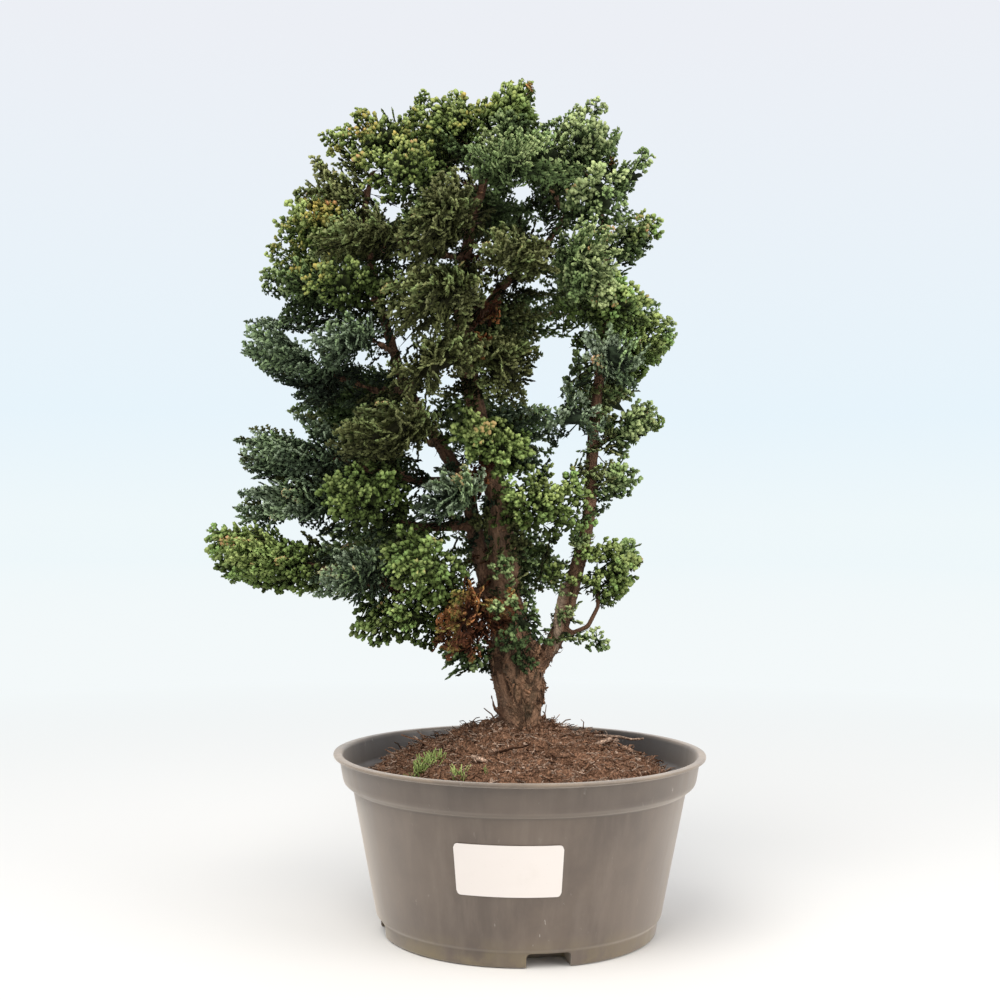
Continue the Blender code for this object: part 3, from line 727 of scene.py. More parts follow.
def mound_height(x, y):
    """Height of the soil's surface in millimetres, at a place in millimetres."""
    radius = math.hypot(x, y)
    height = float(np.interp(radius, *zip(*MOUND)))
    calm = min(1.0, max(0.0, (MOUND_CALM_FROM - radius) / MOUND_CALM_WIDTH))
    low = noise.fractal(Vector((x, y, 5)) * 0.045, 0.8, 2.0, 4)
    fine = noise.fractal(Vector((x, y, 9)) * 0.22, 0.7, 2.1, 3)
    knob = noise.noise(Vector((x, y, 13)) * 0.42)
    bank = math.exp(-((x - BANK_PLACE[0]) / BANK_SIZE[0]) ** 2 - ((y - BANK_PLACE[1]) / BANK_SIZE[1]) ** 2)
    return height + calm * (LOW_LUMPS * low + FINE_LUMPS * fine + KNOBS * abs(knob) + BANK_RISE * bank)


def make_mound():
    """The soil body, up the pot's inside and in over the mound."""
    edge, top = MOUND_SIDE[-1]
    over = [(edge * (1 - k / MOUND_RINGS), top + 0.5 * k / MOUND_RINGS) for k in range(1, MOUND_RINGS)]
    mound = climb(MOUND_SIDE + over, MOUND_SIDES)
    mound.name = "bark_soil"
    for vert in mound.data.vertices:
        if vert.co.z > top * MM:
            vert.co.z = mound_height(vert.co.x / MM, vert.co.y / MM) * MM
    return take_shape(mound)


mound_corners, mound_triangles = make_mound()
print("top of the mound in mm:", round(mound_corners[:, 2].max() / MM, 1))

# %% [markdown]
# ### What lies on it
# A fibre starts as a three-sided ring that is extruded along a curl. A crumb is a rough little stone of
# twenty faces, and a flake is the same one pressed flat. With no more faces than that, thousands of
# them stay light. The fibre serves again further on, for broken twigs and for the blades of the weeds.

# %% Model the fibres, the crumbs and the flakes
FIBRE_RADIUS = 0.064
FIBRE_TAPER = 0.86


def model_fibre(curl, steps):
    """A curved thread one unit long."""
    select_only()
    bpy.ops.mesh.primitive_circle_add(vertices=3, radius=FIBRE_RADIUS, fill_type="NGON",
                                      rotation=(0, math.radians(90), 0))
    bpy.ops.object.transform_apply(rotation=True)
    bpy.ops.object.mode_set(mode="EDIT")
    bpy.ops.mesh.select_all(action="SELECT")
    heading, spot = 0.0, Vector((0, 0, 0))
    for step in range(steps):
        heading += curl[step % len(curl)]
        move = Vector((math.cos(heading), math.sin(heading), 0.25 * math.sin(2.2 * step))) / steps
        bpy.ops.mesh.extrude_region_move()
        bpy.ops.transform.translate(value=move)
        spot += move
        bpy.ops.transform.resize(value=(FIBRE_TAPER, FIBRE_TAPER, FIBRE_TAPER), center_override=spot)
    bpy.ops.mesh.select_all(action="SELECT")
    bpy.ops.mesh.normals_make_consistent(inside=False)
    bpy.ops.object.mode_set(mode="OBJECT")
    return take_shape(bpy.context.object)


def model_sprout(lean):
    """A blade: a three-sided taper that leans."""
    return model_fibre((lean, -0.2 * lean, 0.3 * lean), 3)


def model_crumb(seed, size):
    """A rough lump of twenty faces."""
    rng = random.Random(seed)
    select_only()
    bpy.ops.mesh.primitive_ico_sphere_add(subdivisions=1, radius=0.5)
    crumb = bpy.context.object
    for vert in crumb.data.vertices:
        vert.co *= rng.uniform(0.75, 1.15)
    bpy.ops.object.mode_set(mode="EDIT")
    bpy.ops.transform.resize(value=size)
    bpy.ops.object.mode_set(mode="OBJECT")
    return take_shape(crumb)


CURLS = [(0.6, 0.5, 0.6), (0.8, -1.0, 0.6), (-0.4, 0.1, -0.6), (1.0, 0.9, 0.8), (-0.9, 1.1, 0.4)]
fibre_shapes = [model_fibre(curl, 3) for curl in CURLS]
crumb_shapes = [model_crumb(k, (1, 0.8, 0.7)) for k in range(3)]
flake_shapes = [model_crumb(k + 5, (1.3, 0.7, 0.22)) for k in range(3)]
print("triangles of a fibre and a crumb:", len(fibre_shapes[0][1]), len(crumb_shapes[0][1]))


# %% [markdown]
# ### Strewing
# Every copy needs a place, a turn and a size. All of them together are three arrays, and a shape is
# repeated by one multiplication, which is far quicker than copying objects.

# %% Helpers that repeat shapes and strew them
STREWN_OUT_TO = 94.0


def repeat(shapes, which, places, turns, sizes):
    """Copies shapes to places: corners, triangles, and each corner's copy and place in its shape."""
    all_corners, all_triangles, owners, local = [], [], [], []
    count = 0
    for k, (corners, triangles) in enumerate(shapes):
        chosen = np.nonzero(which == k)[0]
        if not len(chosen):
            continue
        scaled = corners[None] * sizes[chosen][:, None, :]
        placed = np.einsum("kij,knj->kni", turns[chosen], scaled) + places[chosen][:, None, :]
        steps = count + len(corners) * np.arange(len(chosen))
        all_triangles.append((triangles[None] + steps[:, None, None]).reshape(-1, 3))
        all_corners.append(placed.reshape(-1, 3))
        owners.append(np.repeat(chosen, len(corners)))
        local.append(np.tile(corners, (len(chosen), 1)))
        count += len(corners) * len(chosen)
    return (np.concatenate(all_corners), np.concatenate(all_triangles),
            np.concatenate(owners), np.concatenate(local))


def turns_of(forward, up):
    """Turns that carry X to the forward directions, with Z as near up as it can be."""
    x = forward / np.linalg.norm(forward, axis=1, keepdims=True)
    y = np.cross(up, x)
    y /= np.maximum(np.linalg.norm(y, axis=1, keepdims=True), 1e-9)
    return np.stack((x, y, np.cross(x, y)), axis=2)


def strew(shapes, count, smallest, largest, seed, sink, tilt):
    """Copies of shapes scattered evenly over the mound, and the random numbers to go on with."""
    rng = np.random.default_rng(seed)
    radius = STREWN_OUT_TO * np.sqrt(rng.uniform(0.01, 1, count))
    angle = rng.uniform(0, math.tau, count)
    x, y = radius * np.cos(angle), radius * np.sin(angle)
    z = np.array([mound_height(a, b) for a, b in zip(x, y)])
    size = rng.uniform(0, 1, count) ** 1.6 * (largest - smallest) + smallest
    heading = rng.uniform(0, math.tau, count)
    rise = rng.normal(0, tilt, count)
    forward = np.stack((np.cos(heading), np.sin(heading), rise), axis=1)
    up = np.stack((rng.normal(0, 0.5, count), rng.normal(0, 0.5, count), np.ones(count)), axis=1)
    places = np.stack((x, y, z + sink * size), axis=1) * MM
    which = rng.integers(0, len(shapes), count)
    sizes = np.repeat(size[:, None], 3, axis=1) * MM
    return repeat(shapes, which, places, turns_of(forward, up), sizes), rng


# %% [markdown]
# ### Joining the soil
# The mound and everything on it become one piece, since they move as one. Each copy keeps a number,
# its shade, which the paint turns into dark peat, red bark or pale dry fibre. It is random for all that
# is strewn. A layer has its shapes, their number, the smallest and the largest size, how far they are
# lifted, and how much they tilt. A few chips and twigs are laid one by one where the plant has them.
# Each row of their list gives the kind, the place across and in depth, how far above the ground it
# lies, its heading and how steeply it rises, how its shape is scaled in three ways, and its shade.

# %% Build the soil
SOIL_LAYERS = [
    (crumb_shapes, 1100, 1.1, 3.4, 0.02, 0.5),
    (flake_shapes, 300, 2.0, 6.0, 0.10, 0.30),
    (fibre_shapes, 4700, 2.8, 9.5, 0.06, 0.34),
]
CHIP, TWIG = 0, 1
LITTER = [
    (CHIP, -23, -52, 2.4, -0.5, -0.2, 15, 5.0, 6.0, 0.80),
    (CHIP, -15, -50, 2.8, 0.3, 0.1, 8, 4.0, 6.0, 0.70),
    (CHIP, 49, -12, 3.5, 0.2, 0.35, 16, 4.5, 6.0, 0.85),
    (CHIP, 63, -8, 3.0, -0.6, -0.3, 12, 4.5, 6.0, 0.65),
    (TWIG, -12, -52, 2.6, 0.35, 0.15, 19, 15, 15, 0.02),
    (TWIG, 44, -8, 5.0, 0.1, -0.10, 30, 22, 22, 0.88),
    (TWIG, 70, -20, 3.6, 2.2, 0.10, 22, 16, 16, 0.95),
    (TWIG, -48, -22, 3.0, 2.6, 0.25, 26, 14, 14, 0.30),
    (TWIG, 13, -13, 3.0, 1.2, 1.30, 14, 8, 8, 0.35),
    (TWIG, 16, -9, 2.0, -0.6, 0.90, 12, 7, 7, 0.45),
    (TWIG, -13, -14, 3.0, 2.6, 0.80, 12, 10, 10, 0.20),
    (TWIG, -66, -42, 4.0, 2.9, 0.60, 13, 10, 10, 0.25),
]
litter_shapes = [model_crumb(11, (1.0, 0.7, 0.45)), model_fibre((0.15, -0.35, 0.25), 4)]
MOUND_SHADE = 0.34
LITTER_UP = (0.0, -0.5, 1.0)
INSIDE_HEIGHTS = (10, 80, 85, 88.6, 104)
INSIDE_RADII = (82.0, 95.2, 96.2, 101.2, 102.6)
# The threads colour is partly dark fibre and partly painted shade in the hollows.
SOIL_COLOURS = {
    "peat": (0.066, 0.025, 0.011), "bark": (0.500, 0.268, 0.156), "fibre": (0.88, 0.64, 0.48),
    "threads_and_shade": (0.034, 0.012, 0.005), "crumbs": (0.060, 0.023, 0.011), "damp": (0.100, 0.043, 0.022),
}


def lay_litter():
    """The listed chips and twigs: corners, triangles and shade."""
    which = np.array([row[0] for row in LITTER])
    table = np.array([row[1:] for row in LITTER])
    ground = np.array([mound_height(x, y) for x, y in table[:, :2]])
    places = np.column_stack((table[:, :2], ground + table[:, 2])) * MM
    forward = np.column_stack((np.cos(table[:, 3]), np.sin(table[:, 3]), table[:, 4]))
    turns = turns_of(forward, np.tile(LITTER_UP, (len(table), 1)))
    corners, triangles, owner, _ = repeat(litter_shapes, which, places, turns, table[:, 5:8] * MM)
    return corners, triangles, table[owner, 8]


def make_soil():
    """The mound with all that lies on it, kept within the pot."""
    groups = [(mound_corners, mound_triangles, np.full(len(mound_corners), MOUND_SHADE))]
    for k, (shapes, number, small, large, sink, tilt) in enumerate(SOIL_LAYERS):
        (corners, triangles, owner, _), rng = strew(shapes, number, small, large, SEED + k, sink, tilt)
        groups.append((corners, triangles, rng.uniform(0, 1, number)[owner] ** 0.75))
    corners, triangles, shade = stacked(groups + [lay_litter()])
    reach = np.hypot(corners[:, 0], corners[:, 1]) / MM
    limit = np.interp(corners[:, 2] / MM, INSIDE_HEIGHTS, INSIDE_RADII)
    pull = np.where(reach > limit, limit / np.maximum(reach, 1e-6), 1.0)
    corners[:, :2] *= pull[:, None]
    return write_piece("bark_soil", corners, triangles, {"shade": shade})


def soil_paint():
    """Damp peat, red bark and dry fibre."""
    paint = Paint("bark_soil_crumb", 0.9, 0.2)
    spot = paint.position()
    shade = paint.value("shade")
    threads_and_shade = paint.patches(paint.stretched(spot, (1.0, 0.45, 1.0)), 1100.0, 0.46, 0.64)
    masks = {
        "fibre": paint.span(shade, 0.50, 1.0),
        # Dark threads lie in the hollows of the bump: partly dark fibre, partly painted shade.
        "threads_and_shade": paint.maths("MULTIPLY", threads_and_shade, 0.38),
        "crumbs": paint.maths("MULTIPLY", paint.patches(spot, 380.0, 0.40, 0.60), 0.30),
        "damp": paint.maths("MULTIPLY", paint.patches(spot, 26.0, 0.42, 0.62), 0.22),
    }
    colour = paint.mix(paint.span(shade, 0.0, 0.50), SOIL_COLOURS["peat"], SOIL_COLOURS["bark"])
    colour = paint.layered(colour, SOIL_COLOURS, masks)
    relief = paint.maths("SUBTRACT", paint.grain(spot, 900.0, 0.4), paint.maths("MULTIPLY", threads_and_shade, 0.5))
    return paint.finish(colour, relief, 1.0, 0.0022)


dress(make_soil(), ["soil"], soil_paint())

# %% [markdown]
# ## The wood
# The model's trunk is faceted, but every limb and twig is in its place. A copy of it is remeshed into
# small even quads and smoothed, which rounds the facets. Then the bark is raised: a fibrous conifer
# bark splits along the limb, so each corner first learns how far along its limb it lies and on which
# side, and ridges of noise are drawn out along that way. The bark is thick on the trunk and fades on
# the twigs. The list below holds points of the middle line of each limb.

# %% The lines of the limbs
LIMBS = {
    "trunk": [(0, 0, 72), (0, 0, 118), (0, 0, 127), (0, -1, 139), (-2, -1, 151), (-4, 0, 162), (-6, 0, 176),
              (-8, 0, 194), (-11, -1, 224), (-14, -2, 253), (-21, -2, 288), (-29, -1, 314), (-34, 0, 345),
              (-37, 1, 372), (-34, 2, 398), (-29, 2, 424), (-22, 1, 446), (-15, 0, 464)],
    "left": [(-6, 3, 166), (-14, 5, 184), (-20, 5, 204), (-27, 5, 232), (-31, 6, 254), (-41, 7, 274),
             (-56, 7, 297), (-71, 6, 324), (-82, 5, 358), (-91, 4, 396), (-95, 3, 424), (-90, 0, 448)],
    "right": [(4, 0, 148), (13, 0, 157), (20, 0, 168), (27, 0, 186), (32, 0, 206), (37, 0, 224),
              (41, 0, 246), (42, 0, 273), (43, 0, 296), (46, 0, 324), (50, 0, 354), (51, 0, 386),
              (48, 0, 418), (43, 0, 442)],
    "low_left": [(-18, 4, 199), (-40, -4, 194), (-66, -12, 197), (-96, -17, 206), (-124, -18, 215)],
    "mid_left": [(-28, 5, 238), (-56, -2, 236), (-86, -7, 241), (-111, -8, 247)],
    "high_left": [(-36, 6, 264), (-64, 1, 264), (-90, -3, 270), (-111, -5, 277)],
    "cross": [(-35, 1, 352), (-12, 0, 380), (12, -2, 402), (27, -3, 424)],
    "bow": [(25, -1, 178), (31, -3, 174), (40, -4, 178), (46, -4, 190), (45, -4, 206)],
    "dead_stick": [(22, -4, 163), (24, -6, 183), (28, -6, 205)],
    "stub": [(-9, -6, 123), (-15, -9, 130), (-17, -9, 138)],
}
LIMBS_APART = 37.0


def limb_lines():
    """Short straight stretches of the limbs: start, way, length, distance up the limb, and its name."""
    rows = []
    for name, points in LIMBS.items():
        far = LIMBS_APART * len(rows)
        for a, b in zip(points, points[1:]):
            a, b = np.array(a, dtype=float), np.array(b, dtype=float)
            rows.append((a, (b - a) / np.linalg.norm(b - a), np.linalg.norm(b - a), far, name))
            far += np.linalg.norm(b - a)
    return rows


def follow_limbs(corners):
    """For each corner in millimetres: its place across and along its limb, its radius, and its limb."""
    best = np.full(len(corners), np.inf)
    place = np.zeros((len(corners), 3))
    limb = np.zeros(len(corners), dtype=int)
    names = list(LIMBS)
    for start, way, length, far, name in limb_lines():
        along = np.clip((corners - start) @ way, 0, length)
        out = corners - start - along[:, None] * way
        distance = np.linalg.norm(out, axis=1)
        side = np.cross(way, (0.0, 1.0, 0.0))
        side /= np.linalg.norm(side)
        nearer = distance < best
        best[nearer] = distance[nearer]
        place[nearer] = np.stack((out @ side, out @ np.cross(way, side), along + far), axis=1)[nearer]
        limb[nearer] = names.index(name)
    return place, best, limb


# %% [markdown]
# ### Rounding the facets and raising the bark
# The remesh needs one closed skin, which the merged copy of the model is. Its voxel is a little under a
# millimetre, which keeps the thin twigs. Two places then follow the plant more closely than the model
# does: a knot on the trunk is drawn in, and the dead stick is moved a little. Loose flakes of bark and
# the stubs of broken twigs are copies of the shapes that were made for the soil.

# %% Model the wood
WOOD_VOXEL = 0.9
WOOD_KEEP = 0.40
KNOT_HEIGHT = 137.0
KNOT_REACH = 17
KNOT_EDGE = 12.5
KNOT_DRAWN_IN = 0.75
DEAD_STICK_THIN = 2.2
DEAD_STICK_FOOT = 165
DEAD_STICK_RISE = 20
DEAD_STICK_MOVED = 3.6
FLAKES = 1200
STUBS = 420
STUB_BREADTH = 7.5
# The furrow and pits colours are painted shade in the bark's hollows; the furrows are partly the bark's own
# darker fibre too.
BARK_COLOURS = {
    "furrow_and_shade": (0.028, 0.012, 0.006), "strand": (0.350, 0.192, 0.108), "pit_shade": (0.024, 0.010, 0.005),
    "film": (0.120, 0.100, 0.062), "scales": (0.400, 0.225, 0.135), "stems": (0.380, 0.230, 0.150),
    "young": (0.115, 0.052, 0.030), "dull flakes": (0.170, 0.090, 0.052),
    "red flakes": (0.420, 0.220, 0.120), "dead": (0.33, 0.235, 0.165),
}


def remeshed_wood():
    """The model's wood as small, smooth, even faces."""
    corners, triangles = merged_node("wood")
    wood = write_piece("limbs", corners, triangles)
    skin = wood.modifiers.new("skin", "REMESH")
    skin.mode = "VOXEL"
    skin.voxel_size = WOOD_VOXEL * MM
    calm = wood.modifiers.new("calm", "SMOOTH")
    calm.iterations = 6
    calm.factor = 0.6
    thin = wood.modifiers.new("thin", "DECIMATE")
    thin.ratio = WOOD_KEEP
    apply_modifiers(wood)
    return wood


def bark_ridges(place, radius):
    """How far the bark stands out, in millimetres."""
    rise = np.empty(len(place))
    for i, (a, b, s) in enumerate(place):
        wide = noise.fractal(Vector((a * 0.16, b * 0.16, s * 0.04)), 0.8, 2.0, 3)
        strip = noise.fractal(Vector((a * 0.50, b * 0.50, s * 0.11)), 0.7, 2.1, 3)
        flake = noise.fractal(Vector((a * 0.75, b * 0.75, s * 0.42)), 0.7, 2.0, 2)
        rise[i] = 1.1 * wide + 1.0 * (abs(strip) - 0.2) + 1.4 * max(0.0, flake)
    return rise * np.clip((radius - 1.0) / 11, 0.04, 1.15)


def crumbling_bark(corners, normals, radius, rng):
    """Loose flakes of bark: many on the lower trunk, and few small ones up the stems."""
    low = np.clip((240 - corners[:, 2]) / 90, 0.12, 1)
    chance = low * np.clip((radius - 1.5) / 8, 0, 1) * (corners[:, 2] > 119)
    chosen = rng.choice(len(corners), FLAKES, p=chance / chance.sum())
    size = rng.uniform(0, 1, FLAKES) ** 2 * 2.0 + 0.9
    way = np.cross(normals[chosen], rng.normal(0, 1, (FLAKES, 3))) + 0.35 * normals[chosen]
    sizes = np.stack((size * 1.7, size, size * rng.uniform(0.7, 1.6, FLAKES)), axis=1)
    which = rng.integers(0, len(flake_shapes), FLAKES)
    turns = turns_of(way, normals[chosen])
    more, faces, owner, _ = repeat(flake_shapes, which, corners[chosen], turns, sizes)
    return more, faces, chosen[owner], rng.uniform(0, 1, FLAKES)[owner]


def twig_stubs(corners, normals, radius, rng):
    """Short broken twigs, on the stems that are neither thick nor thin."""
    open_stem = (radius > 2.5) & (radius < 11) & (corners[:, 2] > 150)
    chosen = rng.choice(np.nonzero(open_stem)[0], STUBS)
    size = rng.uniform(2.5, 5.0, STUBS)
    way = normals[chosen] + rng.normal(0, 0.35, (STUBS, 3)) + np.array((0, 0, 0.4))
    broad = np.full(STUBS, STUB_BREADTH)
    which = rng.integers(0, len(fibre_shapes), STUBS)
    turns = turns_of(way, rng.normal(0, 1, (STUBS, 3)))
    sizes = np.stack((size, broad, broad), axis=1)
    more, faces, owner, _ = repeat(fibre_shapes, which, corners[chosen], turns, sizes)
    return more, faces, chosen[owner], rng.uniform(0, 0.5, STUBS)[owner]


def make_wood():
    """The wood with its bark raised along the limbs."""
    wood = remeshed_wood()
    mesh = wood.data
    count = len(mesh.vertices)
    corners, normals = np.empty(count * 3), np.empty(count * 3)
    mesh.vertices.foreach_get("co", corners)
    mesh.vertices.foreach_get("normal", normals)
    corners, normals = corners.reshape(-1, 3) / MM, normals.reshape(-1, 3)
    place, radius, limb = follow_limbs(corners)
    corners += normals * bark_ridges(place, radius)[:, None]
    knot = KNOT_DRAWN_IN * np.exp(-((corners[:, 2] - KNOT_HEIGHT) / KNOT_REACH) ** 2)
    corners[:, 0] -= knot * np.clip(corners[:, 0] - KNOT_EDGE, 0, None)
    dead = (limb == list(LIMBS).index("dead_stick")) & (radius < DEAD_STICK_THIN)
    up = np.clip((corners[dead, 2] - DEAD_STICK_FOOT) / DEAD_STICK_RISE, 0, 1)
    corners[dead, 0] -= DEAD_STICK_MOVED * up
    rng = np.random.default_rng(SEED)
    body = (corners, take_shape(wood)[1], np.arange(len(corners)), np.zeros(len(corners)))
    flakes = crumbling_bark(corners, normals, radius, rng)
    stubs = twig_stubs(corners, normals, radius, rng)
    skin, faces, every, flake = stacked([body, flakes, stubs])
    values = {"bark": place[every] * MM, "thick": np.clip(radius / 15, 0, 1)[every],
              "dead": dead[every].astype(float), "flake": flake}
    return write_piece("fibrous_wood", skin * MM, faces, values)


def bark_paint():
    """Red-brown fibrous bark, crumbling and dusty on the trunk, smoother and redder on thin stems."""
    paint = Paint("fibrous_bark", 0.85, 0.2)
    way = paint.value("bark", "Vector")
    thick = paint.value("thick")
    flake = paint.value("flake")
    spot = paint.position()
    strands = paint.patches(paint.stretched(way, (1, 1, 0.22)), 460.0, 0.40, 0.62)
    lumps = paint.grain(spot, 430.0, 0.85)
    scales = paint.patches(paint.stretched(way, (1, 1, 0.45)), 190.0, 0.46, 0.58)
    masks = {
        # Painted shade in the pits that the bump presses in.
        "pit_shade": paint.span(lumps, 0.42, 0.80, 0.0, 0.6),
        "film": paint.maths("MULTIPLY", paint.patches(way, 60.0, 0.42, 0.66), 0.45),
        "scales": paint.maths("MULTIPLY", scales, 0.60),
        "stems": paint.span(thick, 0.75, 0.50, 0.0, 0.35),
        "young": paint.maths("MULTIPLY", paint.span(thick, 0.42, 0.18), 0.7),
        "dull flakes": paint.span(flake, 0.2, 0.7, 0.0, 0.8),
        "red flakes": paint.span(flake, 0.80, 1.0, 0.0, 0.8),
        "dead": paint.value("dead"),
    }
    # The strands are raised and the furrows between them are dark: partly their own colour, partly painted
    # shade.
    colour = paint.mix(strands, BARK_COLOURS["furrow_and_shade"], BARK_COLOURS["strand"])
    colour = paint.layered(colour, BARK_COLOURS, masks)
    rough = paint.maths("ADD", paint.maths("MULTIPLY", strands, 0.6), paint.maths("MULTIPLY", scales, 0.7))
    height = paint.maths("ADD", rough, paint.grain(paint.stretched(way, (1, 1, 0.4)), 1300.0, 0.3))
    height = paint.maths("SUBTRACT", height, paint.maths("MULTIPLY", lumps, 0.9))
    return paint.finish(colour, height, 0.95, 0.0016)


dress(make_wood(), ["wood"], bark_paint())

# %% [markdown]
# ## The scale leaves
# Hinoki foliage is made of tiny overlapping scales that wrap each branchlet, so a branchlet looks like
# a short, thick, blunt thread. From a step away it is all grain, and the grain is what makes the plant
# look alive, so it has to be modelled at its real size: a leaflet here is about three millimetres long.
# There are over a hundred thousand of them, so each has to be very light. A bud is a cone with the
# middle of its base drawn back: six faces. A knob is a bud with a blunt tip, and has twelve. Along a
# side shoot the leaflets share their corners and have two faces each. No primitive has that shape, so
# its corners come from a rule instead.


# %% Model the bud, the knob and the comb
def model_bud(sides, broadest, blunt):
    """A bud one unit long from its foot at the origin: a cone, with the middle of its base drawn back."""
    select_only()
    bpy.ops.mesh.primitive_cone_add(vertices=sides, radius1=0.5, radius2=blunt, depth=1 - broadest,
                                    end_fill_type="TRIFAN", location=(0, 0, broadest + (1 - broadest) / 2))
    bud = bpy.context.object
    bpy.ops.object.transform_apply(location=True)
    bpy.ops.object.mode_set(mode="EDIT")
    bpy.ops.mesh.select_mode(type="VERT")
    bpy.ops.mesh.select_all(action="DESELECT")
    bpy.ops.object.mode_set(mode="OBJECT")
    for vert in bud.data.vertices:
        vert.select = vert.co.z < broadest + 0.01 and vert.co.xy.length < 0.01
    bpy.ops.object.mode_set(mode="EDIT")
    bpy.ops.transform.translate(value=(0, 0, -broadest))
    bpy.ops.mesh.select_all(action="SELECT")
    bpy.ops.transform.rotate(value=math.radians(-90), orient_axis="Y", center_override=(0, 0, 0))
    bpy.ops.mesh.normals_make_consistent(inside=False)
    bpy.ops.object.mode_set(mode="OBJECT")
    return take_shape(bud)


def model_comb(pairs):
    """A flat side shoot one unit long: leaflets in pairs on both sides of a midrib, up to its tip."""
    ribs = [(k / pairs, 0, side * 0.5) for side in (1, -1) for k in range(1, pairs)]
    widths = [1 - 0.42 * (k / (pairs - 1)) ** 2 for k in range(pairs)]
    reaches = [min(0.96, (k + 1.2) / pairs) for k in range(pairs)]
    tips = [(reach, side * width / 2, 0.25) for side in (1, -1) for reach, width in zip(reaches, widths)]
    corners = np.array([(0, 0, 0), (1, 0, 0)] + ribs + tips, dtype=float)
    top = [0] + list(range(2, pairs + 1)) + [1]
    under = [0] + list(range(pairs + 1, 2 * pairs)) + [1]
    left, right = 2 * pairs, 3 * pairs
    triangles = []
    for k in range(pairs):
        triangles += [(top[k], top[k + 1], left + k), (top[k], right + k, top[k + 1]),
                      (under[k], left + k, under[k + 1]), (under[k], under[k + 1], right + k)]
    return corners, np.array(triangles)


BUD, KNOB = 0, 1
COMB = {2: 2, 3: 3, 4: 4}
leaf_shapes = [model_bud(3, 0.66, 0.0), model_bud(3, 0.50, 0.30)] + [model_comb(pairs) for pairs in COMB]
print("triangles of a bud, a knob and the combs:", [len(shape[1]) for shape in leaf_shapes])

# %% [markdown]
# ### From leaflets to fronds
# A frond is a thread with side shoots on both sides, and each side shoot is a comb of leaflets, so the
# same pattern used twice makes the fern-like plume. Side shoots are longest a quarter of the way up
# and shorten towards the tip. The coral form is the same idea in the round: its shoots turn about the
# thread by the golden angle, and each carries three knobs on its outer half. Each corner is also given
# its freshness, from nought at an old foot to one at a new tip, which the paint will read.

# %% Model the fronds
GOLDEN_ANGLE = math.radians(137.5)
LEAFLET_GAP = 2.2
COMB_WIDTH = 4.0
COMB_THICK = 1.3


def shoot_profile(share):
    """How long a side shoot is at this share of the frond's length."""
    return min(1.0, 0.45 + share * 2.2) * (1.04 - share) ** 0.55


def add_knobbed_shoot(parts, foot, along, turn, reach, age, rng):
    """A short shoot with three knobs on its outer half."""
    out = np.array((0.0, math.cos(turn), math.sin(turn)))
    way = np.array((along, 0.0, 0.0)) + out
    way /= np.linalg.norm(way)
    parts.append((BUD, foot, way, (reach, 1.3, 1.2), age * 0.4))
    across = np.cross(way, out)
    across = across / np.linalg.norm(across)
    for k, (side, share) in enumerate(((-1, 0.55), (1, 0.68), (0.2, 0.90))):
        lean = way + across * side * rng.uniform(0.6, 1.0) + out * rng.uniform(-0.4, 0.4)
        width = rng.uniform(2.7, 3.4)
        size = (rng.uniform(2.6, 3.4), width, width * 0.95)
        parts.append((KNOB, foot + way * reach * share, lean, size, age * (0.75 + 0.12 * k)))


def bend(corners, length, sideways, arch):
    """Bows a frond along its length, with both of its ends left in place."""
    share = np.clip(corners[:, 0] / length, 0, 1)
    bow = 4 * share * (1 - share) * length
    corners[:, 1] += sideways * bow
    corners[:, 2] += arch * bow
    return corners


def assembled(parts, length, rng):
    """Places the parts of a frond, bows it, and returns its corners, triangles and freshness."""
    which, feet, forward, sizes, ages = (np.array(column, dtype=float) for column in zip(*parts))
    up = np.array([(rng.uniform(-0.3, 0.3), rng.uniform(-0.35, 0.35), 1.0) for _ in parts])
    corners, triangles, owner, local = repeat(leaf_shapes, which, feet, turns_of(forward, up), sizes)
    fresh_and_lit = ages[owner] * (0.30 + 0.40 * local[:, 0] + 0.75 * np.abs(local[:, 1]))
    corners = bend(corners, length, rng.uniform(-0.07, 0.07), rng.uniform(-0.04, 0.12))
    return corners, triangles, np.clip(fresh_and_lit, 0, 1)


def add_thread(parts, length, thick):
    """The middle thread of a frond, in three lengths that overlap."""
    for k in range(3):
        foot = (length * 0.31 * k, 0, 0)
        parts.append((BUD, foot, (1, 0, 0), (length * 0.42, thick, thick), 0.35 + 0.15 * k))


def make_fern(length, reach, seed):
    """A flat plume."""
    rng = random.Random(seed)
    parts = []
    add_thread(parts, length, 1.4)
    spot, side = length * 0.06, 1
    while spot < length * 0.95:
        share = spot / length
        turn = side * rng.uniform(0.80, 1.05) * (1 - 0.3 * share)
        long = reach * shoot_profile(share) * rng.uniform(0.85, 1.15)
        pairs = min(4, max(2, round(long / LEAFLET_GAP)))
        way = (math.cos(turn), math.sin(turn), rng.uniform(-0.25, 0.35))
        size = (long, COMB_WIDTH * rng.uniform(0.85, 1.15), COMB_THICK)
        parts.append((COMB[pairs], (spot, 0, rng.uniform(-0.3, 0.3)), way, size, 0.6 + 0.4 * share))
        spot += rng.uniform(1.9, 2.5)
        side = -side
    parts.append((COMB[2], (length - 3.5, 0, 0), (1, 0, 0), (4.0, 3.0, COMB_THICK), 1.0))
    return assembled(parts, length, rng)


def make_coral(length, reach, seed):
    """A knobbed young shoot, full on every side."""
    rng = random.Random(seed)
    parts = []
    add_thread(parts, length * 0.95, 1.5)
    shoots = round(length / 3.2)
    for k in range(shoots):
        share = (k + 0.5) / shoots
        foot = np.array((length * (0.12 + 0.74 * share), 0, 0))
        turn = GOLDEN_ANGLE * k + rng.uniform(-0.3, 0.3)
        long = reach * (1.05 - 0.5 * share) * rng.uniform(0.85, 1.15)
        add_knobbed_shoot(parts, foot, 0.55 + 0.8 * share, turn, long, 0.6 + 0.4 * share, rng)
    parts.append((KNOB, (length - 2.6, 0, 0), (1, 0, 0.1), (3.2, 2.8, 2.4), 1.0))
    return assembled(parts, length, rng)


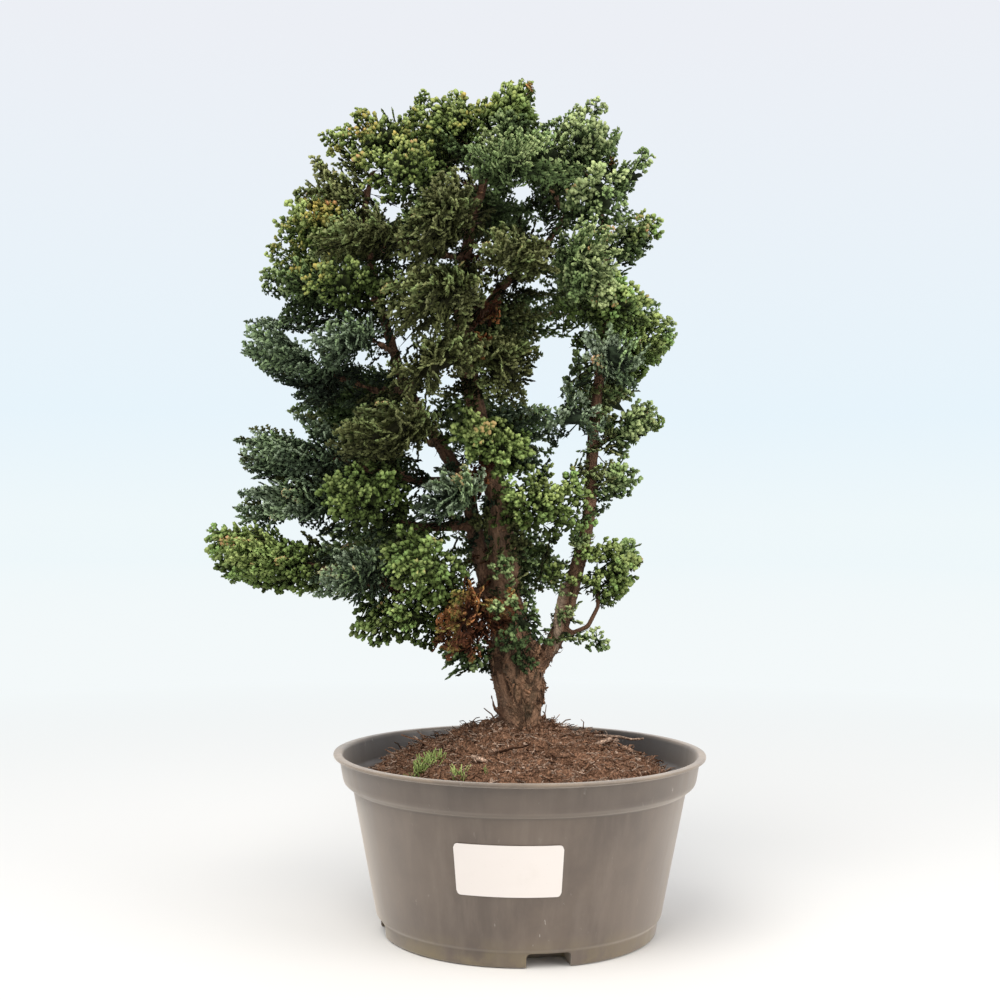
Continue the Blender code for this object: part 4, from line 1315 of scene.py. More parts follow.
FROND_LENGTHS = (13.0, 22.0, 34.0)
FROND_REACHES = {"fern": (5.0, 7.0, 8.6), "coral": (4.6, 5.8, 6.8)}
FROND_KINDS = 5
frond_shapes = {}
for form, maker in (("fern", make_fern), ("coral", make_coral)):
    for length, reach in zip(FROND_LENGTHS, FROND_REACHES[form]):
        seeds = [f"{form}{length}{k}" for k in range(FROND_KINDS)]
        frond_shapes[form, length] = [maker(length, reach, seed) for seed in seeds]
        print(form, length, "mm:", len(frond_shapes[form, length][0][1]), "triangles")


# %% [markdown]
# ### Placing fronds
# A frond is asked for by its start and its end. The nearest of three lengths is taken, so that its
# leaflets keep about their real size, and stretched to fit. Its flat side is turned outwards, away
# from the middle of the crown, where it catches the light. Its freshness also carries painted light:
# it is raised on the side of each tuft that faces the key light, and lowered on the far side, which
# is painted darker. The right side and the low branches are made lighter too, and some places are
# made lighter or darker than the rest: their list gives each one's x and z, how far it reaches, and
# the share by which it differs.

# %% A helper that places fronds
CROWN_MIDDLE = (-12.0, 2.0)


def place_fronds(form, starts, ends, ups, lift, rng):
    """Fronds between these points, in millimetres: corners, triangles, freshness with painted light, and
    tint.
    """
    way = ends - starts
    need = np.linalg.norm(way, axis=1)
    lengths = np.array(FROND_LENGTHS)
    kind = np.abs(np.log(need[:, None] / lengths)).argmin(axis=1)
    shapes, which, freshness = [], np.zeros(len(need), dtype=int), []
    variant = rng.integers(0, FROND_KINDS, len(need))
    for k, length in enumerate(FROND_LENGTHS):
        for v in range(FROND_KINDS):
            which[(kind == k) & (variant == v)] = len(shapes)
            shapes.append(frond_shapes[form, length][v][:2])
            freshness.append(frond_shapes[form, length][v][2])
    stretch = need / lengths[kind]
    broad = np.clip(stretch, 0.85, 1.15) * rng.uniform(0.9, 1.12, len(need))
    sizes = np.stack((stretch, broad, broad), axis=1)
    made, faces, owner, _ = repeat(shapes, which, starts, turns_of(way, ups), sizes)
    fresh_and_lit = np.concatenate([np.tile(values, (which == k).sum()) for k, values in enumerate(freshness)])
    return made, faces, fresh_and_lit * lift[owner], rng.uniform(0, 1, len(need))[owner]


# The way towards the key light. The side of each tuft that faces it gets painted light.
KEY_LIGHT_WAY = np.array((-0.25, -0.45, 0.86))
# Places made lighter or darker than the rest: x, z, reach and share.
BRIGHTNESS_CHANGES = [
    (-10, 485, 38, 0.15), (-16, 284, 28, 0.45), (42, 372, 26, 0.40), (-156, 218, 30, 0.18),
    (-87, 253, 26, -0.25), (-60, 205, 30, -0.08), (18, 450, 20, 0.15), (-18, 446, 14, -0.15),
    (-112, 439, 24, 0.40), (34, 400, 22, -0.20), (-90, 292, 24, -0.15), (-3, 175, 24, -0.30),
]


def painted_sunlight(points, middles, low, high):
    """Painted light: fresher and lighter on the tuft's side facing the key light, and changed in places."""
    way = points - middles
    side = (way / np.maximum(np.linalg.norm(way, axis=1, keepdims=True), 1e-6)) @ KEY_LIGHT_WAY
    # Lighter on the right and low down, then lighter or darker in the listed places.
    brightness = np.interp(points[:, 0], (5, 45), (1.0, 1.3)) * np.interp(points[:, 2], (170, 270), (1.2, 1.0))
    for x, z, reach, more in BRIGHTNESS_CHANGES:
        away = (points[:, 0] - x) ** 2 + (points[:, 2] - z) ** 2
        brightness = brightness * (1 + more * np.exp(-away / reach ** 2))
    # Painted light and shade: fresher and lighter on the side facing the key light, darker on the far side.
    return brightness * (low + (high - low) * np.clip(0.5 + 0.75 * side, 0, 1))


def outward(points):
    """Ways from the middle line of the crown."""
    way = points - np.array((*CROWN_MIDDLE, 0.0))
    way[:, 2] = 6.0
    return way / np.linalg.norm(way, axis=1, keepdims=True)


# %% [markdown]
# ### Dressing the 56 sprays
# The measured spray has a core and one long point for each shoot that it must have room for. A point's
# tip is easy to find, because only three triangles meet there. The fronds of a spray rise from its
# foot, where its twig ends, and fan out to a choice of those tips that lie far from each other. So the
# spray keeps its measured form, and its fronds all flow the way that the twig leads them. Short fronds
# then cover the core, which stays inside as a dark heart of painted shade that no light passes.

# %% Read a spray
CORAL_SPRAYS = ("low_left_under low_left_front mid_left_front upper_left_front left_crown_tip "
                "left_crown_top left_crown_inner top_left top_tip right_crown_top right_crown_front "
                "upper_right_tip upper_right_front mid_right_upper mid_right_lower low_right_tip "
                "low_right_under heart_upper heart_right fork_front fork_left back_mid_right").split()


def read_spray(node):
    """A spray's tips, its core's corners with their ways out, and its core's faces, in millimetres."""
    corners, triangles = merged_node(node)
    corners = corners / MM
    meets = np.bincount(triangles.ravel(), minlength=len(corners))
    is_tip = meets == 3
    ring = {tip: {} for tip in np.nonzero(is_tip)[0]}
    ways = np.zeros((len(corners), 3))
    for triangle in triangles:
        peak = next((k for k in range(3) if is_tip[triangle[k]]), None)
        if peak is None:
            continue
        tip, a, b = triangle[peak], triangle[(peak + 1) % 3], triangle[(peak + 2) % 3]
        ring[tip][a] = b
        ways[a] += corners[tip] - corners[a]
        ways[b] += corners[tip] - corners[b]
    faces = []
    for follow in ring.values():
        a = next(iter(follow))
        faces.append((a, follow[a], follow[follow[a]]))
    used, index = np.unique(np.array(faces).ravel(), return_inverse=True)
    ways = ways[used] / np.linalg.norm(ways[used], axis=1, keepdims=True)
    return corners[is_tip], corners[used], ways, index.reshape(-1, 3)


def far_apart(points, count):
    """A choice of points that lie far from each other."""
    chosen = [int(points[:, 2].argmax())]
    gap = np.linalg.norm(points - points[chosen[0]], axis=1)
    while len(chosen) < min(count, len(points)):
        chosen.append(int(gap.argmax()))
        gap = np.minimum(gap, np.linalg.norm(points - points[chosen[-1]], axis=1))
    return points[chosen]


# %% [markdown]
# ### The outline of the crown
# Between the sprays the real plant is just as leafy. To grow the missing shoots, the outline of the
# crown is needed as it is seen from the camera, with the small gaps where the sky shows through.
# Anything that would stand outside it, or in a gap, isn't grown. A point nearer the camera covers a
# larger part of the view, so each is first carried to the plane of the trunk along the line of sight.
# The outline's points were chosen one by one and are the x and z of that plane. A gap is an ellipse:
# its middle, and half its width and height. The plant also has its own sweep: plumes hang in the
# middle, rise on the right and reach out on the left. A short list of places, each with the way it
# leads, is enough to comb the whole crown.

# %% Draw the outline
CROWN_OUTLINE = [
    (-14, 150), (-22, 150), (-30, 152), (-36, 148), (-45, 145), (-48, 151), (-44, 158), (-49, 163),
    (-65, 166), (-77, 166), (-87, 165), (-98, 168), (-99, 173), (-93, 180), (-95, 187), (-105, 193),
    (-120, 193), (-127, 198), (-134, 196), (-149, 199), (-167, 203), (-176, 204), (-182, 215), (-190, 225),
    (-188, 235), (-179, 230), (-171, 236), (-153, 237), (-141, 228), (-129, 224), (-109, 218), (-116, 224),
    (-130, 230), (-135, 240), (-154, 241), (-167, 238), (-174, 243), (-169, 256), (-160, 258), (-161, 267),
    (-169, 272), (-172, 288), (-163, 294), (-152, 297), (-143, 288), (-133, 290), (-124, 286), (-128, 296),
    (-138, 306), (-132, 311), (-146, 321), (-158, 331), (-168, 342), (-165, 361), (-153, 361), (-140, 352),
    (-146, 361), (-141, 369), (-134, 372), (-140, 376), (-154, 372), (-155, 378), (-153, 387), (-142, 397),
    (-147, 404), (-140, 408), (-146, 416), (-142, 424), (-132, 435), (-130, 442), (-124, 452), (-111, 456),
    (-113, 471), (-102, 473), (-102, 484), (-89, 484), (-83, 489), (-72, 484), (-60, 495), (-48, 493),
    (-39, 498), (-29, 487), (-20, 495), (-13, 497), (-10, 505), (-4, 498), (-2, 505), (4, 507), (7, 496),
    (5, 486), (17, 479), (28, 484), (35, 493), (46, 487), (47, 479), (59, 475), (56, 461), (49, 459),
    (57, 454), (75, 460), (77, 454), (66, 451), (72, 437), (64, 440), (66, 423), (82, 422), (76, 400),
    (67, 397), (71, 389), (61, 387), (57, 372), (71, 377), (81, 372), (82, 362), (91, 361), (92, 350),
    (84, 341), (83, 335), (75, 335), (73, 325), (66, 327), (71, 317), (57, 309), (59, 296), (71, 308),
    (83, 305), (81, 296), (66, 287), (67, 280), (58, 275), (71, 272), (69, 260), (54, 254), (57, 249),
    (47, 244), (45, 235), (47, 225), (51, 235), (57, 229), (71, 229), (72, 217), (63, 211), (69, 200),
    (61, 193), (50, 193), (45, 180), (29, 178), (40, 175), (46, 169), (38, 166), (25, 171), (14, 162),
    (0, 162),
]
SKY_GAPS = [
    (21, 342, 10, 20), (14, 315, 14, 9), (30, 287, 9, 9), (23, 271, 7, 9), (-53, 281, 5, 8),
    (-58, 272, 3, 5), (-73, 343, 5, 7), (-66, 335, 4, 4), (-127, 339, 6, 10), (-136, 347, 5, 4),
    (-36, 231, 7, 6), (-27, 209, 4, 8), (26, 224, 8, 8), (15, 193, 6, 7), (17, 180, 5, 9),
    (41, 187, 7, 7), (16, 458, 8, 7), (7, 446, 7, 6), (-2, 436, 5, 7), (-89, 451, 5, 5),
    (-77, 425, 5, 7), (15, 381, 8, 5), (47, 232, 4, 7), (34, 245, 4, 6), (-46, 324, 4, 6),
]
EYE = np.array(CAMERA_PLACE) / MM


def seen(points):
    """Where points appear on the plane of the trunk: their x and z there, in millimetres."""
    share = -EYE[1] / (points[:, 1] - EYE[1])
    return EYE[[0, 2]] + (points[:, [0, 2]] - EYE[[0, 2]]) * share[:, None]


def edge_distance(places):
    """Distance in from the outline and the gaps, in millimetres, below nought outside."""
    outline = np.array(CROWN_OUTLINE, dtype=float)
    a, side = outline, np.roll(outline, -1, axis=0) - outline
    x, z = places[:, :1], places[:, 1:]
    crosses = (a[:, 1] > z) != ((a + side)[:, 1] > z)
    rise = np.where(side[:, 1] == 0, 1.0, side[:, 1])
    inside = (crosses & (x < a[:, 0] + (z - a[:, 1]) * side[:, 0] / rise)).sum(axis=1) % 2 == 1
    along = ((x - a[:, 0]) * side[:, 0] + (z - a[:, 1]) * side[:, 1]) / (side ** 2).sum(axis=1)
    along = np.clip(along, 0, 1)
    gap = np.hypot(x - a[:, 0] - along * side[:, 0], z - a[:, 1] - along * side[:, 1]).min(axis=1)
    gap = np.where(inside, gap, -gap)
    for middle_x, middle_z, wide, tall in SKY_GAPS:
        hole = np.hypot((places[:, 0] - middle_x) / wide, (places[:, 1] - middle_z) / tall) - 1
        gap = np.minimum(gap, hole * min(wide, tall))
    return gap


FLOW = [
    (-54, 396, -0.5, -0.9), (-30, 423, -0.5, -0.8), (-72, 354, -0.3, -0.95), (-102, 423, -0.7, 0.7),
    (-132, 396, -0.9, 0.3), (-120, 354, -0.95, 0.15), (-143, 342, -0.9, 0.4), (-149, 277, -0.95, 0.3),
    (-102, 265, -0.9, 0.1), (-161, 220, -1.0, 0.1), (-72, 199, -0.6, -0.7), (-78, 470, -0.3, 0.9),
    (-6, 479, 0.3, 0.95), (41, 467, 0.5, 0.85), (47, 420, 0.8, 0.5), (23, 372, 0.7, 0.4),
    (59, 342, 0.75, 0.65), (23, 289, 0.6, 0.6), (0, 330, 0.4, -0.8), (53, 265, 0.8, 0.5),
    (59, 217, 0.8, 0.4), (-24, 181, -0.2, -0.9),
]
FLOW_REACH = 32.0
TIP_MARGIN = -1.4
BODY_MARGIN = 0.2


def flow_at(points):
    """The way that foliage sweeps at these points, across the view."""
    table = np.array(FLOW)
    place = seen(points)
    gap = np.hypot(place[:, :1] - table[:, 0], place[:, 1:] - table[:, 1])
    weight = np.exp(-((gap / FLOW_REACH) ** 2)) + 1e-9
    sweep = (weight @ table[:, 2:]) / weight.sum(axis=1, keepdims=True)
    return np.stack((sweep[:, 0], np.zeros(len(points)), sweep[:, 1]), axis=1)


def free_fronds(starts, ends):
    """Which fronds stay within the outline of the crown, by their tips and by their broadest part."""
    bodies = starts * 0.4 + ends * 0.6
    return (edge_distance(seen(ends)) > TIP_MARGIN) & (edge_distance(seen(bodies)) > BODY_MARGIN)


print("the outline has", len(CROWN_OUTLINE), "points and", len(SKY_GAPS), "gaps of sky")

# %% [markdown]
# ### The colour of growth
# One rule paints all the foliage. Five sets of colours cover the plant: yellow-green new growth, plain
# green, blue-green plumes, olive inner growth and rust-brown dead sprays. Each set has a colour for the
# shaded old parts, one for the middle, one for the new tips, and a fourth that the tips take on in
# patches. They are blended along a corner's freshness, which also carries painted light and shade:
# lighter on the side of a tuft that faces the key light, darker deep in the crown and in the dark
# hearts. Each frond's own tint darkens some fronds and scorches the tips of a few. High on the left,
# some tips of the yellow-green set turn golden.

# %% Paint the foliage
LEAF_COLOURS = {
    "bright": ((0.012, 0.016, 0.004), (0.094, 0.138, 0.029), (0.430, 0.515, 0.165), (0.255, 0.395, 0.115)),
    "green": ((0.012, 0.017, 0.006), (0.088, 0.136, 0.044), (0.490, 0.565, 0.245), (0.305, 0.430, 0.155)),
    "blue": ((0.010, 0.015, 0.008), (0.076, 0.113, 0.058), (0.490, 0.590, 0.400), (0.340, 0.480, 0.200)),
    "olive": ((0.013, 0.013, 0.004), (0.080, 0.088, 0.025), (0.370, 0.385, 0.155), (0.300, 0.410, 0.140)),
    "rust": ((0.016, 0.006, 0.003), (0.130, 0.042, 0.016), (0.620, 0.250, 0.085), (0.330, 0.340, 0.080)),
}
GOLDEN = (0.600, 0.440, 0.110)
GOLDEN_LEAN = -1.2
GOLDEN_FROM = 480
GOLDEN_FULL = 530
SCORCHED = (0.50, 0.22, 0.11)


def leaf_paint(name):
    """Scale leaves in one of the five colours."""
    inner, middle, tip, other = LEAF_COLOURS[name]
    paint = Paint(f"scale_leaves_{name}", 0.5, 0.22)
    spot = paint.position()
    # The freshness read here carries painted light and shade as well as the age of the growth.
    fresh_and_lit, tint = paint.value("fresh_and_lit"), paint.value("tint")
    mottle = paint.patches(spot, 90.0, 0.35, 0.7)
    fresh_and_lit = paint.maths("ADD", fresh_and_lit, paint.span(mottle, 0.0, 1.0, -0.14, 0.10))
    colour = paint.mix(paint.span(fresh_and_lit, 0.08, 0.42), inner, middle)
    patch = paint.patches(spot, 42.0, 0.46, 0.60)
    turned = paint.span(paint.maths("ADD", patch, paint.span(tint, 0.7, 0.9, 0.0, 0.6)), 0.0, 1.0)
    if name == "bright":
        lean = paint.maths("MULTIPLY", paint.height(spot, "X"), GOLDEN_LEAN)
        high_left = paint.maths("ADD", paint.height(spot), lean)
        golden = paint.span(high_left, GOLDEN_FROM * MM, GOLDEN_FULL * MM, 0.0, 0.9)
        other = paint.mix(paint.maths("MULTIPLY", golden, turned), other, GOLDEN)
    colour = paint.mix(paint.span(fresh_and_lit, 0.42, 0.95), colour, paint.mix(turned, tip, other))
    colour = paint.mix(paint.span(tint, 0.0, 0.5, 0.45, 0.0), colour, inner)
    burnt = paint.maths("MULTIPLY", paint.span(tint, 0.94, 0.96, 0.0, 0.8), paint.span(fresh_and_lit, 0.70, 0.95))
    colour = paint.mix(burnt, colour, SCORCHED)
    rough = paint.span(fresh_and_lit, 0.15, 0.6, 1.0, 0.52)
    return paint.finish(colour, paint.grain(spot, 900.0, 0.7), 0.4, 0.0004, rough)


leaf_paints = {name: leaf_paint(name) for name in LEAF_COLOURS}
kind_of = {row["node"]: row["material_slot"].removeprefix("foliage_")
           for row in frame["record"]["subparts"] if row["node"] in sprays}
print("sprays of each kind:", {kind: list(kind_of.values()).count(kind) for kind in LEAF_COLOURS})

# %% [markdown]
# ### The sprays themselves
# Each spray is dressed with the same few lines. How many fronds it gets follows its size, so that a
# small sprig isn't choked and a large one isn't bare. Short lists hold what is special: a few
# sprays are painted as another kind, are partly withered, or are thinner than the rest. The dark heart
# is painted shade: the core drawn in, made ragged and given the darkest leaf colours, and smallest near
# the edge of the crown.


# %% Dress the sprays
def roughened(corners, faces, rounds, depth, rng):
    """A closed lump split finer and made ragged, with how far out each corner is, from nought to one."""
    middle = corners.mean(axis=0)
    for _ in range(rounds):
        ends = np.sort(np.concatenate([faces[:, [0, 1]], faces[:, [1, 2]], faces[:, [2, 0]]]), axis=1)
        edges, index = np.unique(ends, axis=0, return_inverse=True)
        a, b, c = index.reshape(3, -1) + len(corners)
        corners = np.concatenate((corners, corners[edges].mean(axis=1)))
        quarters = ((faces[:, 0], a, c), (a, faces[:, 1], b), (c, b, faces[:, 2]), (a, b, c))
        faces = np.concatenate([np.stack(quarter, axis=1) for quarter in quarters])
    way = corners - middle
    way /= np.linalg.norm(way, axis=1, keepdims=True)
    out = rng.uniform(-1, 1, len(corners))
    return corners + way * (out * depth)[:, None], faces, (out + 1) / 2


PAINTED_AS = {"spray_top_front": "green", "spray_upper_right_inner": "green"}
look_of = kind_of | PAINTED_AS
SPRAY_SWEEP = 0.3
SPRAY_AXIS = 1.3
START_SHARE = 0.55
START_LIMITS = (0.05, 0.75)
START_SCATTER = 0.06
SHORT_FRONDS = (9, 14)
SHORT_SUNK = 0.35
FROND_TWIST = 0.45
WITHERED = {"spray_fork_front": 0.55, "spray_heart_upper": 0.08, "spray_centre_under": 0.12}
SPARSE = {"spray_fork_front": 0.5, "spray_fork_dead": 0.85, "spray_back_right_crown": 0.8,
          "spray_heart_upper": 0.6, "spray_heart_right": 0.7, "spray_low_right_tip": 0.8}
SHADE_CORE_SHARE = {"fern": 0.58, "coral": 0.52}
SPRAY_LIFT = (0.55, 1.15)
SHADE_CORE_DRAWN_IN = 0.35
SHADE_CORE_MARGIN = 4.0
SHADE_CORE_ROUGH = 2.2
FRONDS_PER_AREA = {"fern": 0.0053, "coral": 0.0028}
CORE_FRONDS_PER_AREA = {"fern": 0.0028, "coral": 0.0014}


def spread(vectors, amount, rng):
    """Vectors turned a little at random."""
    return vectors + rng.normal(0, amount, vectors.shape) * np.linalg.norm(vectors, axis=1, keepdims=True)


def dress_spray(node, form, seed):
    """One spray's foliage in millimetres: corners, triangles, freshness with painted light, and tint."""
    rng = np.random.default_rng(seed)
    tips, core, ways, faces = read_spray(node)
    middle = core.mean(axis=0)
    foot = core[np.abs(core - nearest_wood(middle[None])[0]).sum(axis=1).argmin()]
    reach = np.linalg.norm(tips - middle, axis=1).mean()
    area = 4 * math.pi * reach ** 2
    full = SPARSE.get(node, 1.0)
    ends = far_apart(tips, round(area * FRONDS_PER_AREA[form] * full))
    axis = (middle - foot) * SPRAY_AXIS
    share = np.clip(((ends - foot) @ axis) / (axis @ axis) * START_SHARE, *START_LIMITS)
    starts = foot + share[:, None] * axis + rng.normal(0, reach * START_SCATTER, ends.shape)
    starts -= flow_at(starts) * reach * SPRAY_SWEEP
    few = np.linspace(0, len(core) - 1, round(area * CORE_FRONDS_PER_AREA[form] * full)).astype(int)
    short = spread(ways[few], 0.3, rng) * rng.uniform(*SHORT_FRONDS, (len(few), 1))
    starts = np.concatenate((starts, core[few] - short * SHORT_SUNK))
    ends = np.concatenate((ends, core[few] + short * (1 - SHORT_SUNK)))
    free = free_fronds(starts, ends)
    starts, ends = starts[free], ends[free]
    ups = outward((starts + ends) / 2) + rng.normal(0, FROND_TWIST, starts.shape)
    # Painted light: fronds on the side of the spray that faces the key light come out fresher and lighter.
    leaves = place_fronds(form, starts, ends, ups, painted_sunlight(ends, middle, *SPRAY_LIFT), rng)
    leaves[3][leaves[3] < WITHERED.get(node, 0)] = 1.0
    # The heart is painted shade: the core drawn in and made ragged, in the darkest leaf colours.
    inner = edge_distance(seen(core)) > SHADE_CORE_MARGIN
    share = full * np.where(inner, SHADE_CORE_SHARE[form], SHADE_CORE_DRAWN_IN)[:, None]
    heart, faces, out = roughened(middle + (core - middle) * share, faces, 1, SHADE_CORE_ROUGH, rng)
    return stacked([leaves, (heart, faces, 0.3 * out ** 2, np.full(len(heart), 0.5))])


wood_corners = merged_node("wood")[0] / MM
BOX_MARGIN = 2e-4


def nearest_wood(points):
    """The corner of the wood nearest to each point."""
    found = [np.linalg.norm(wood_corners - point, axis=1).argmin() for point in points]
    return wood_corners[found]


def finish_leaves(name, foliage, nodes, paint):
    """Turns foliage in millimetres into a painted piece inside the measured box."""
    corners, faces, fresh_and_lit, tint = foliage
    low, high = np.array(cad_box[0]) + BOX_MARGIN, np.array(cad_box[1]) - BOX_MARGIN
    piece = write_piece(name, np.clip(corners * MM, low, high), faces, {"fresh_and_lit": fresh_and_lit, "tint": tint})
    dress(piece, nodes, leaf_paints[paint])
    return len(faces)


total = 0
for number, node in enumerate(sprays):
    form = "coral" if node.removeprefix("spray_") in CORAL_SPRAYS else "fern"
    foliage = dress_spray(node, form, SEED * 100 + number)
    leaves = node.replace("spray_", "leaves_")
    total += finish_leaves(leaves, foliage, [node], look_of[node])
print("triangles on the sprays:", total)

# %% [markdown]
# ### The growth between them
# The rest of the crown is grown by a rule. Places are drawn at random in the crown's depth, which is
# thin at the edge of the outline and thick in its middle. A place that a spray already fills, or that
# is too near another, is passed over. Each place left becomes the end of a frond, and a stalk leads
# from the frond back to the nearest wood. The frond takes the colour of the spray beside it, or of a
# patch that a short list sets: its x, z, reach and colour. Many of those deep inside are olive, but
# not on the upper right, which gets more light: that olive is partly real inner growth and partly
# painted shade. A few tufts are listed, with their x, y and z, their reach, the number of their
# shoots and their colour. All the growth of one colour is one piece.

# %% Grow the shoots between the sprays
GROWTH_PATCHES = [
    (-33, 181, 17, "rust"), (-21, 270, 9, "rust"), (-26, 372, 13, "rust"), (-100, 292, 9, "bright"),
    (-90, 470, 22, "bright"), (-130, 400, 14, "bright"), (-12, 497, 16, "bright"), (32, 479, 14, "green"),
    (47, 378, 16, "bright"), (74, 372, 12, "green"), (-45, 476, 20, "green"), (60, 405, 16, "green"),
    (52, 275, 14, "olive"), (48, 300, 12, "olive"), (0, 212, 22, "olive"),
]
GROWTH_TRIES = 18000
GROWTH_GAP = 7.8
GROWTH_MARGIN = -0.5
EDGE_BAND = 5.0
EDGE_GAP = 5.5
STALK_MOST = 32.0
STALK_MARGIN = 1.0
SPRAY_FILL = 0.85
EDGE_FILL = 0.62
BACK_GAP = 10.0
KNOBS_UP_TO = -6.0
GROWTH_SWEEP = 1.1
GROWTH_OUTWARD = 0.3
GROWTH_SCATTER = 0.25
GROWTH_TWIST = 0.4
GROWTH_LIFT = (0.5, 1.05)
SHOOT_LEAST = 12
SHOOT_MOST = (18, 38)
FRONT_SHARE = 0.6
DEPTH_AT_EDGE = 9.0
DEPTH_RISE = 0.62
DEPTH_MOST = 52.0
STALK_THICK = 1.1
STALK_FRESH = 0.2
SHADED_BELOW = 475
OLIVE_WITHIN = 0.5
OLIVE_SHARE = 0.7
RUST_TO_OLIVE = 0.4
PATCH_SHARE = 0.75
PATCH_DEPTH = 25


def growth_places(rng):
    """Free places in the crown, in millimetres, and how deep in it each one is."""
    outline = np.array(CROWN_OUTLINE, dtype=float)
    flat = rng.uniform(outline.min(axis=0) - 2, outline.max(axis=0) + 2, (GROWTH_TRIES, 2))
    inside = edge_distance(flat)
    keep = inside > GROWTH_MARGIN
    flat, inside = flat[keep], inside[keep]
    lines = np.array([row[0] for row in limb_lines()])
    near = np.hypot(flat[:, :1] - lines[:, 0], flat[:, 1:] - lines[:, 2]).argmin(axis=1)
    depth = np.minimum(DEPTH_AT_EDGE + DEPTH_RISE * np.maximum(inside, 0), DEPTH_MOST)
    side = np.where(rng.uniform(size=len(flat)) < FRONT_SHARE, -1, 1)
    share = side * rng.uniform(0, 1, len(flat)) ** 0.45
    y = lines[near, 1] + share * depth
    scale = (y - EYE[1]) / -EYE[1]
    x = EYE[0] + (flat[:, 0] - EYE[0]) * scale
    z = EYE[2] + (flat[:, 1] - EYE[2]) * scale
    places = np.stack((x, y, z), axis=1)
    deep = inside > EDGE_BAND
    gaps = np.where(deep, np.where(share > 0, BACK_GAP, GROWTH_GAP), EDGE_GAP)
    order = np.argsort(deep, kind="stable")
    return places[order], np.abs(share)[order], gaps[order], np.where(deep, SPRAY_FILL, EDGE_FILL)[order]


def thinned(places, gaps, fills, hearts, reaches):
    """Which places are free of the sprays and of each other."""
    kept = []
    for i, place in enumerate(places):
        if (np.linalg.norm(hearts - place, axis=1) < reaches * fills[i]).any():
            continue
        if kept and np.linalg.norm(places[kept] - place, axis=1).min() < gaps[i]:
            continue
        kept.append(i)
    return np.array(kept)


def growth_kinds(ends, share, hearts, rng):
    """The colour of each shoot and the spray beside it."""
    beside = np.linalg.norm(hearts[None] - ends[:, None], axis=2).argmin(axis=1)
    kinds = np.array([look_of[sprays[k]] for k in beside])
    # Deep shoots away from the upper right turn olive: partly real inner growth, partly painted shade.
    shaded = 2 * ends[:, 0] + ends[:, 2] < SHADED_BELOW
    chance = rng.uniform(size=len(share))
    kinds = np.where(shaded & (share < OLIVE_WITHIN) & (chance < OLIVE_SHARE), "olive", kinds)
    chance = rng.uniform(size=len(share))
    kinds = np.where((kinds == "rust") & (chance < RUST_TO_OLIVE), "olive", kinds)
    place = seen(ends)
    for x, z, reach, kind in GROWTH_PATCHES:
        within = (np.hypot(place[:, 0] - x, place[:, 1] - z) < reach) & (ends[:, 1] < PATCH_DEPTH)
        chance = rng.uniform(size=len(share))
        kinds = np.where(within & (chance < PATCH_SHARE), kind, kinds)
    return kinds, beside


TUFTS = [
    (-24, -24, 188, 10, 8, "rust"), (-11, -26, 183, 9, 9, "rust"), (-31, -26, 168, 10, 9, "rust"),
    (-5, -22, 193, 9, 7, "rust"), (-21, -26, 176, 9, 8, "rust"), (-46, -26, 172, 9, 7, "rust"),
    (-40, -28, 196, 9, 7, "rust"), (-7, -30, 172, 8, 6, "green"), (3, -22, 161, 8, 6, "green"),
    (-39, -26, 184, 6, 4, "bright"), (-24, -20, 268, 8, 8, "rust"), (-30, -26, 258, 7, 6, "rust"),
    (-25, -24, 340, 10, 8, "rust"), (-18, -22, 362, 8, 6, "rust"), (-28, -20, 388, 8, 6, "rust"),
    (4, -6, 497, 4, 3, "rust"), (52, -6, 452, 5, 4, "rust"), (45, -4, 170, 8, 6, "green"),
    (-8, -18, 466, 15, 12, "green"), (38, -50, 374, 17, 15, "green"), (55, -44, 370, 10, 8, "bright"),
    (72, -14, 413, 10, 8, "bright"), (71, -10, 303, 9, 7, "green"), (-84, -34, 379, 10, 8, "bright"),
    (-26, -30, 283, 9, 7, "bright"), (26, -28, 262, 10, 8, "bright"), (-104, -8, 466, 8, 6, "bright"),
    (-12, -16, 214, 9, 6, "green"), (0, -18, 232, 9, 6, "olive"), (-22, -18, 240, 8, 5, "olive"),
    (-4, -14, 250, 8, 5, "olive"), (33, -10, 232, 7, 5, "green"), (-9, 4, 499, 5, 5, "bright"),
    (1, 2, 497, 7, 8, "bright"), (44, 0, 488, 6, 5, "green"), (-128, -10, 431, 7, 5, "olive"),
    (-114, -6, 464, 8, 6, "bright"), (-122, -8, 449, 7, 5, "olive"), (-138, -8, 407, 8, 6, "bright"),
    (-145, -6, 398, 7, 5, "bright"), (-148, -6, 382, 8, 6, "green"), (-96, -4, 478, 7, 5, "bright"),
    (-58, -4, 490, 6, 5, "bright"), (71, -4, 455, 7, 5, "green"), (85, -4, 355, 7, 5, "green"),
    (64, -6, 223, 8, 6, "green"), (78, -4, 300, 6, 4, "bright"),
]


def grow_tuft(x, y, z, reach, number, rng):
    """A listed tuft: the starts and the ends of its shoots, which face the viewer's half."""
    way = rng.normal(0, 1, (number, 3))
    way[:, 1] = -np.abs(way[:, 1]) * 0.7
    way /= np.linalg.norm(way, axis=1, keepdims=True)
    middle = np.array((x, y, z), dtype=float)
    return middle - way * reach * 0.15, middle + way * reach


def shoot_ways(places, wood, rng):
    """The ways that lead to these ends of shoots, and how far the wood is from them."""
    way = places - wood
    far = np.linalg.norm(way, axis=1, keepdims=True)
    way = way / far + GROWTH_OUTWARD * outward(places) + GROWTH_SWEEP * flow_at(places)
    way += rng.normal(0, GROWTH_SCATTER, places.shape)
    return way / np.linalg.norm(way, axis=1, keepdims=True), far


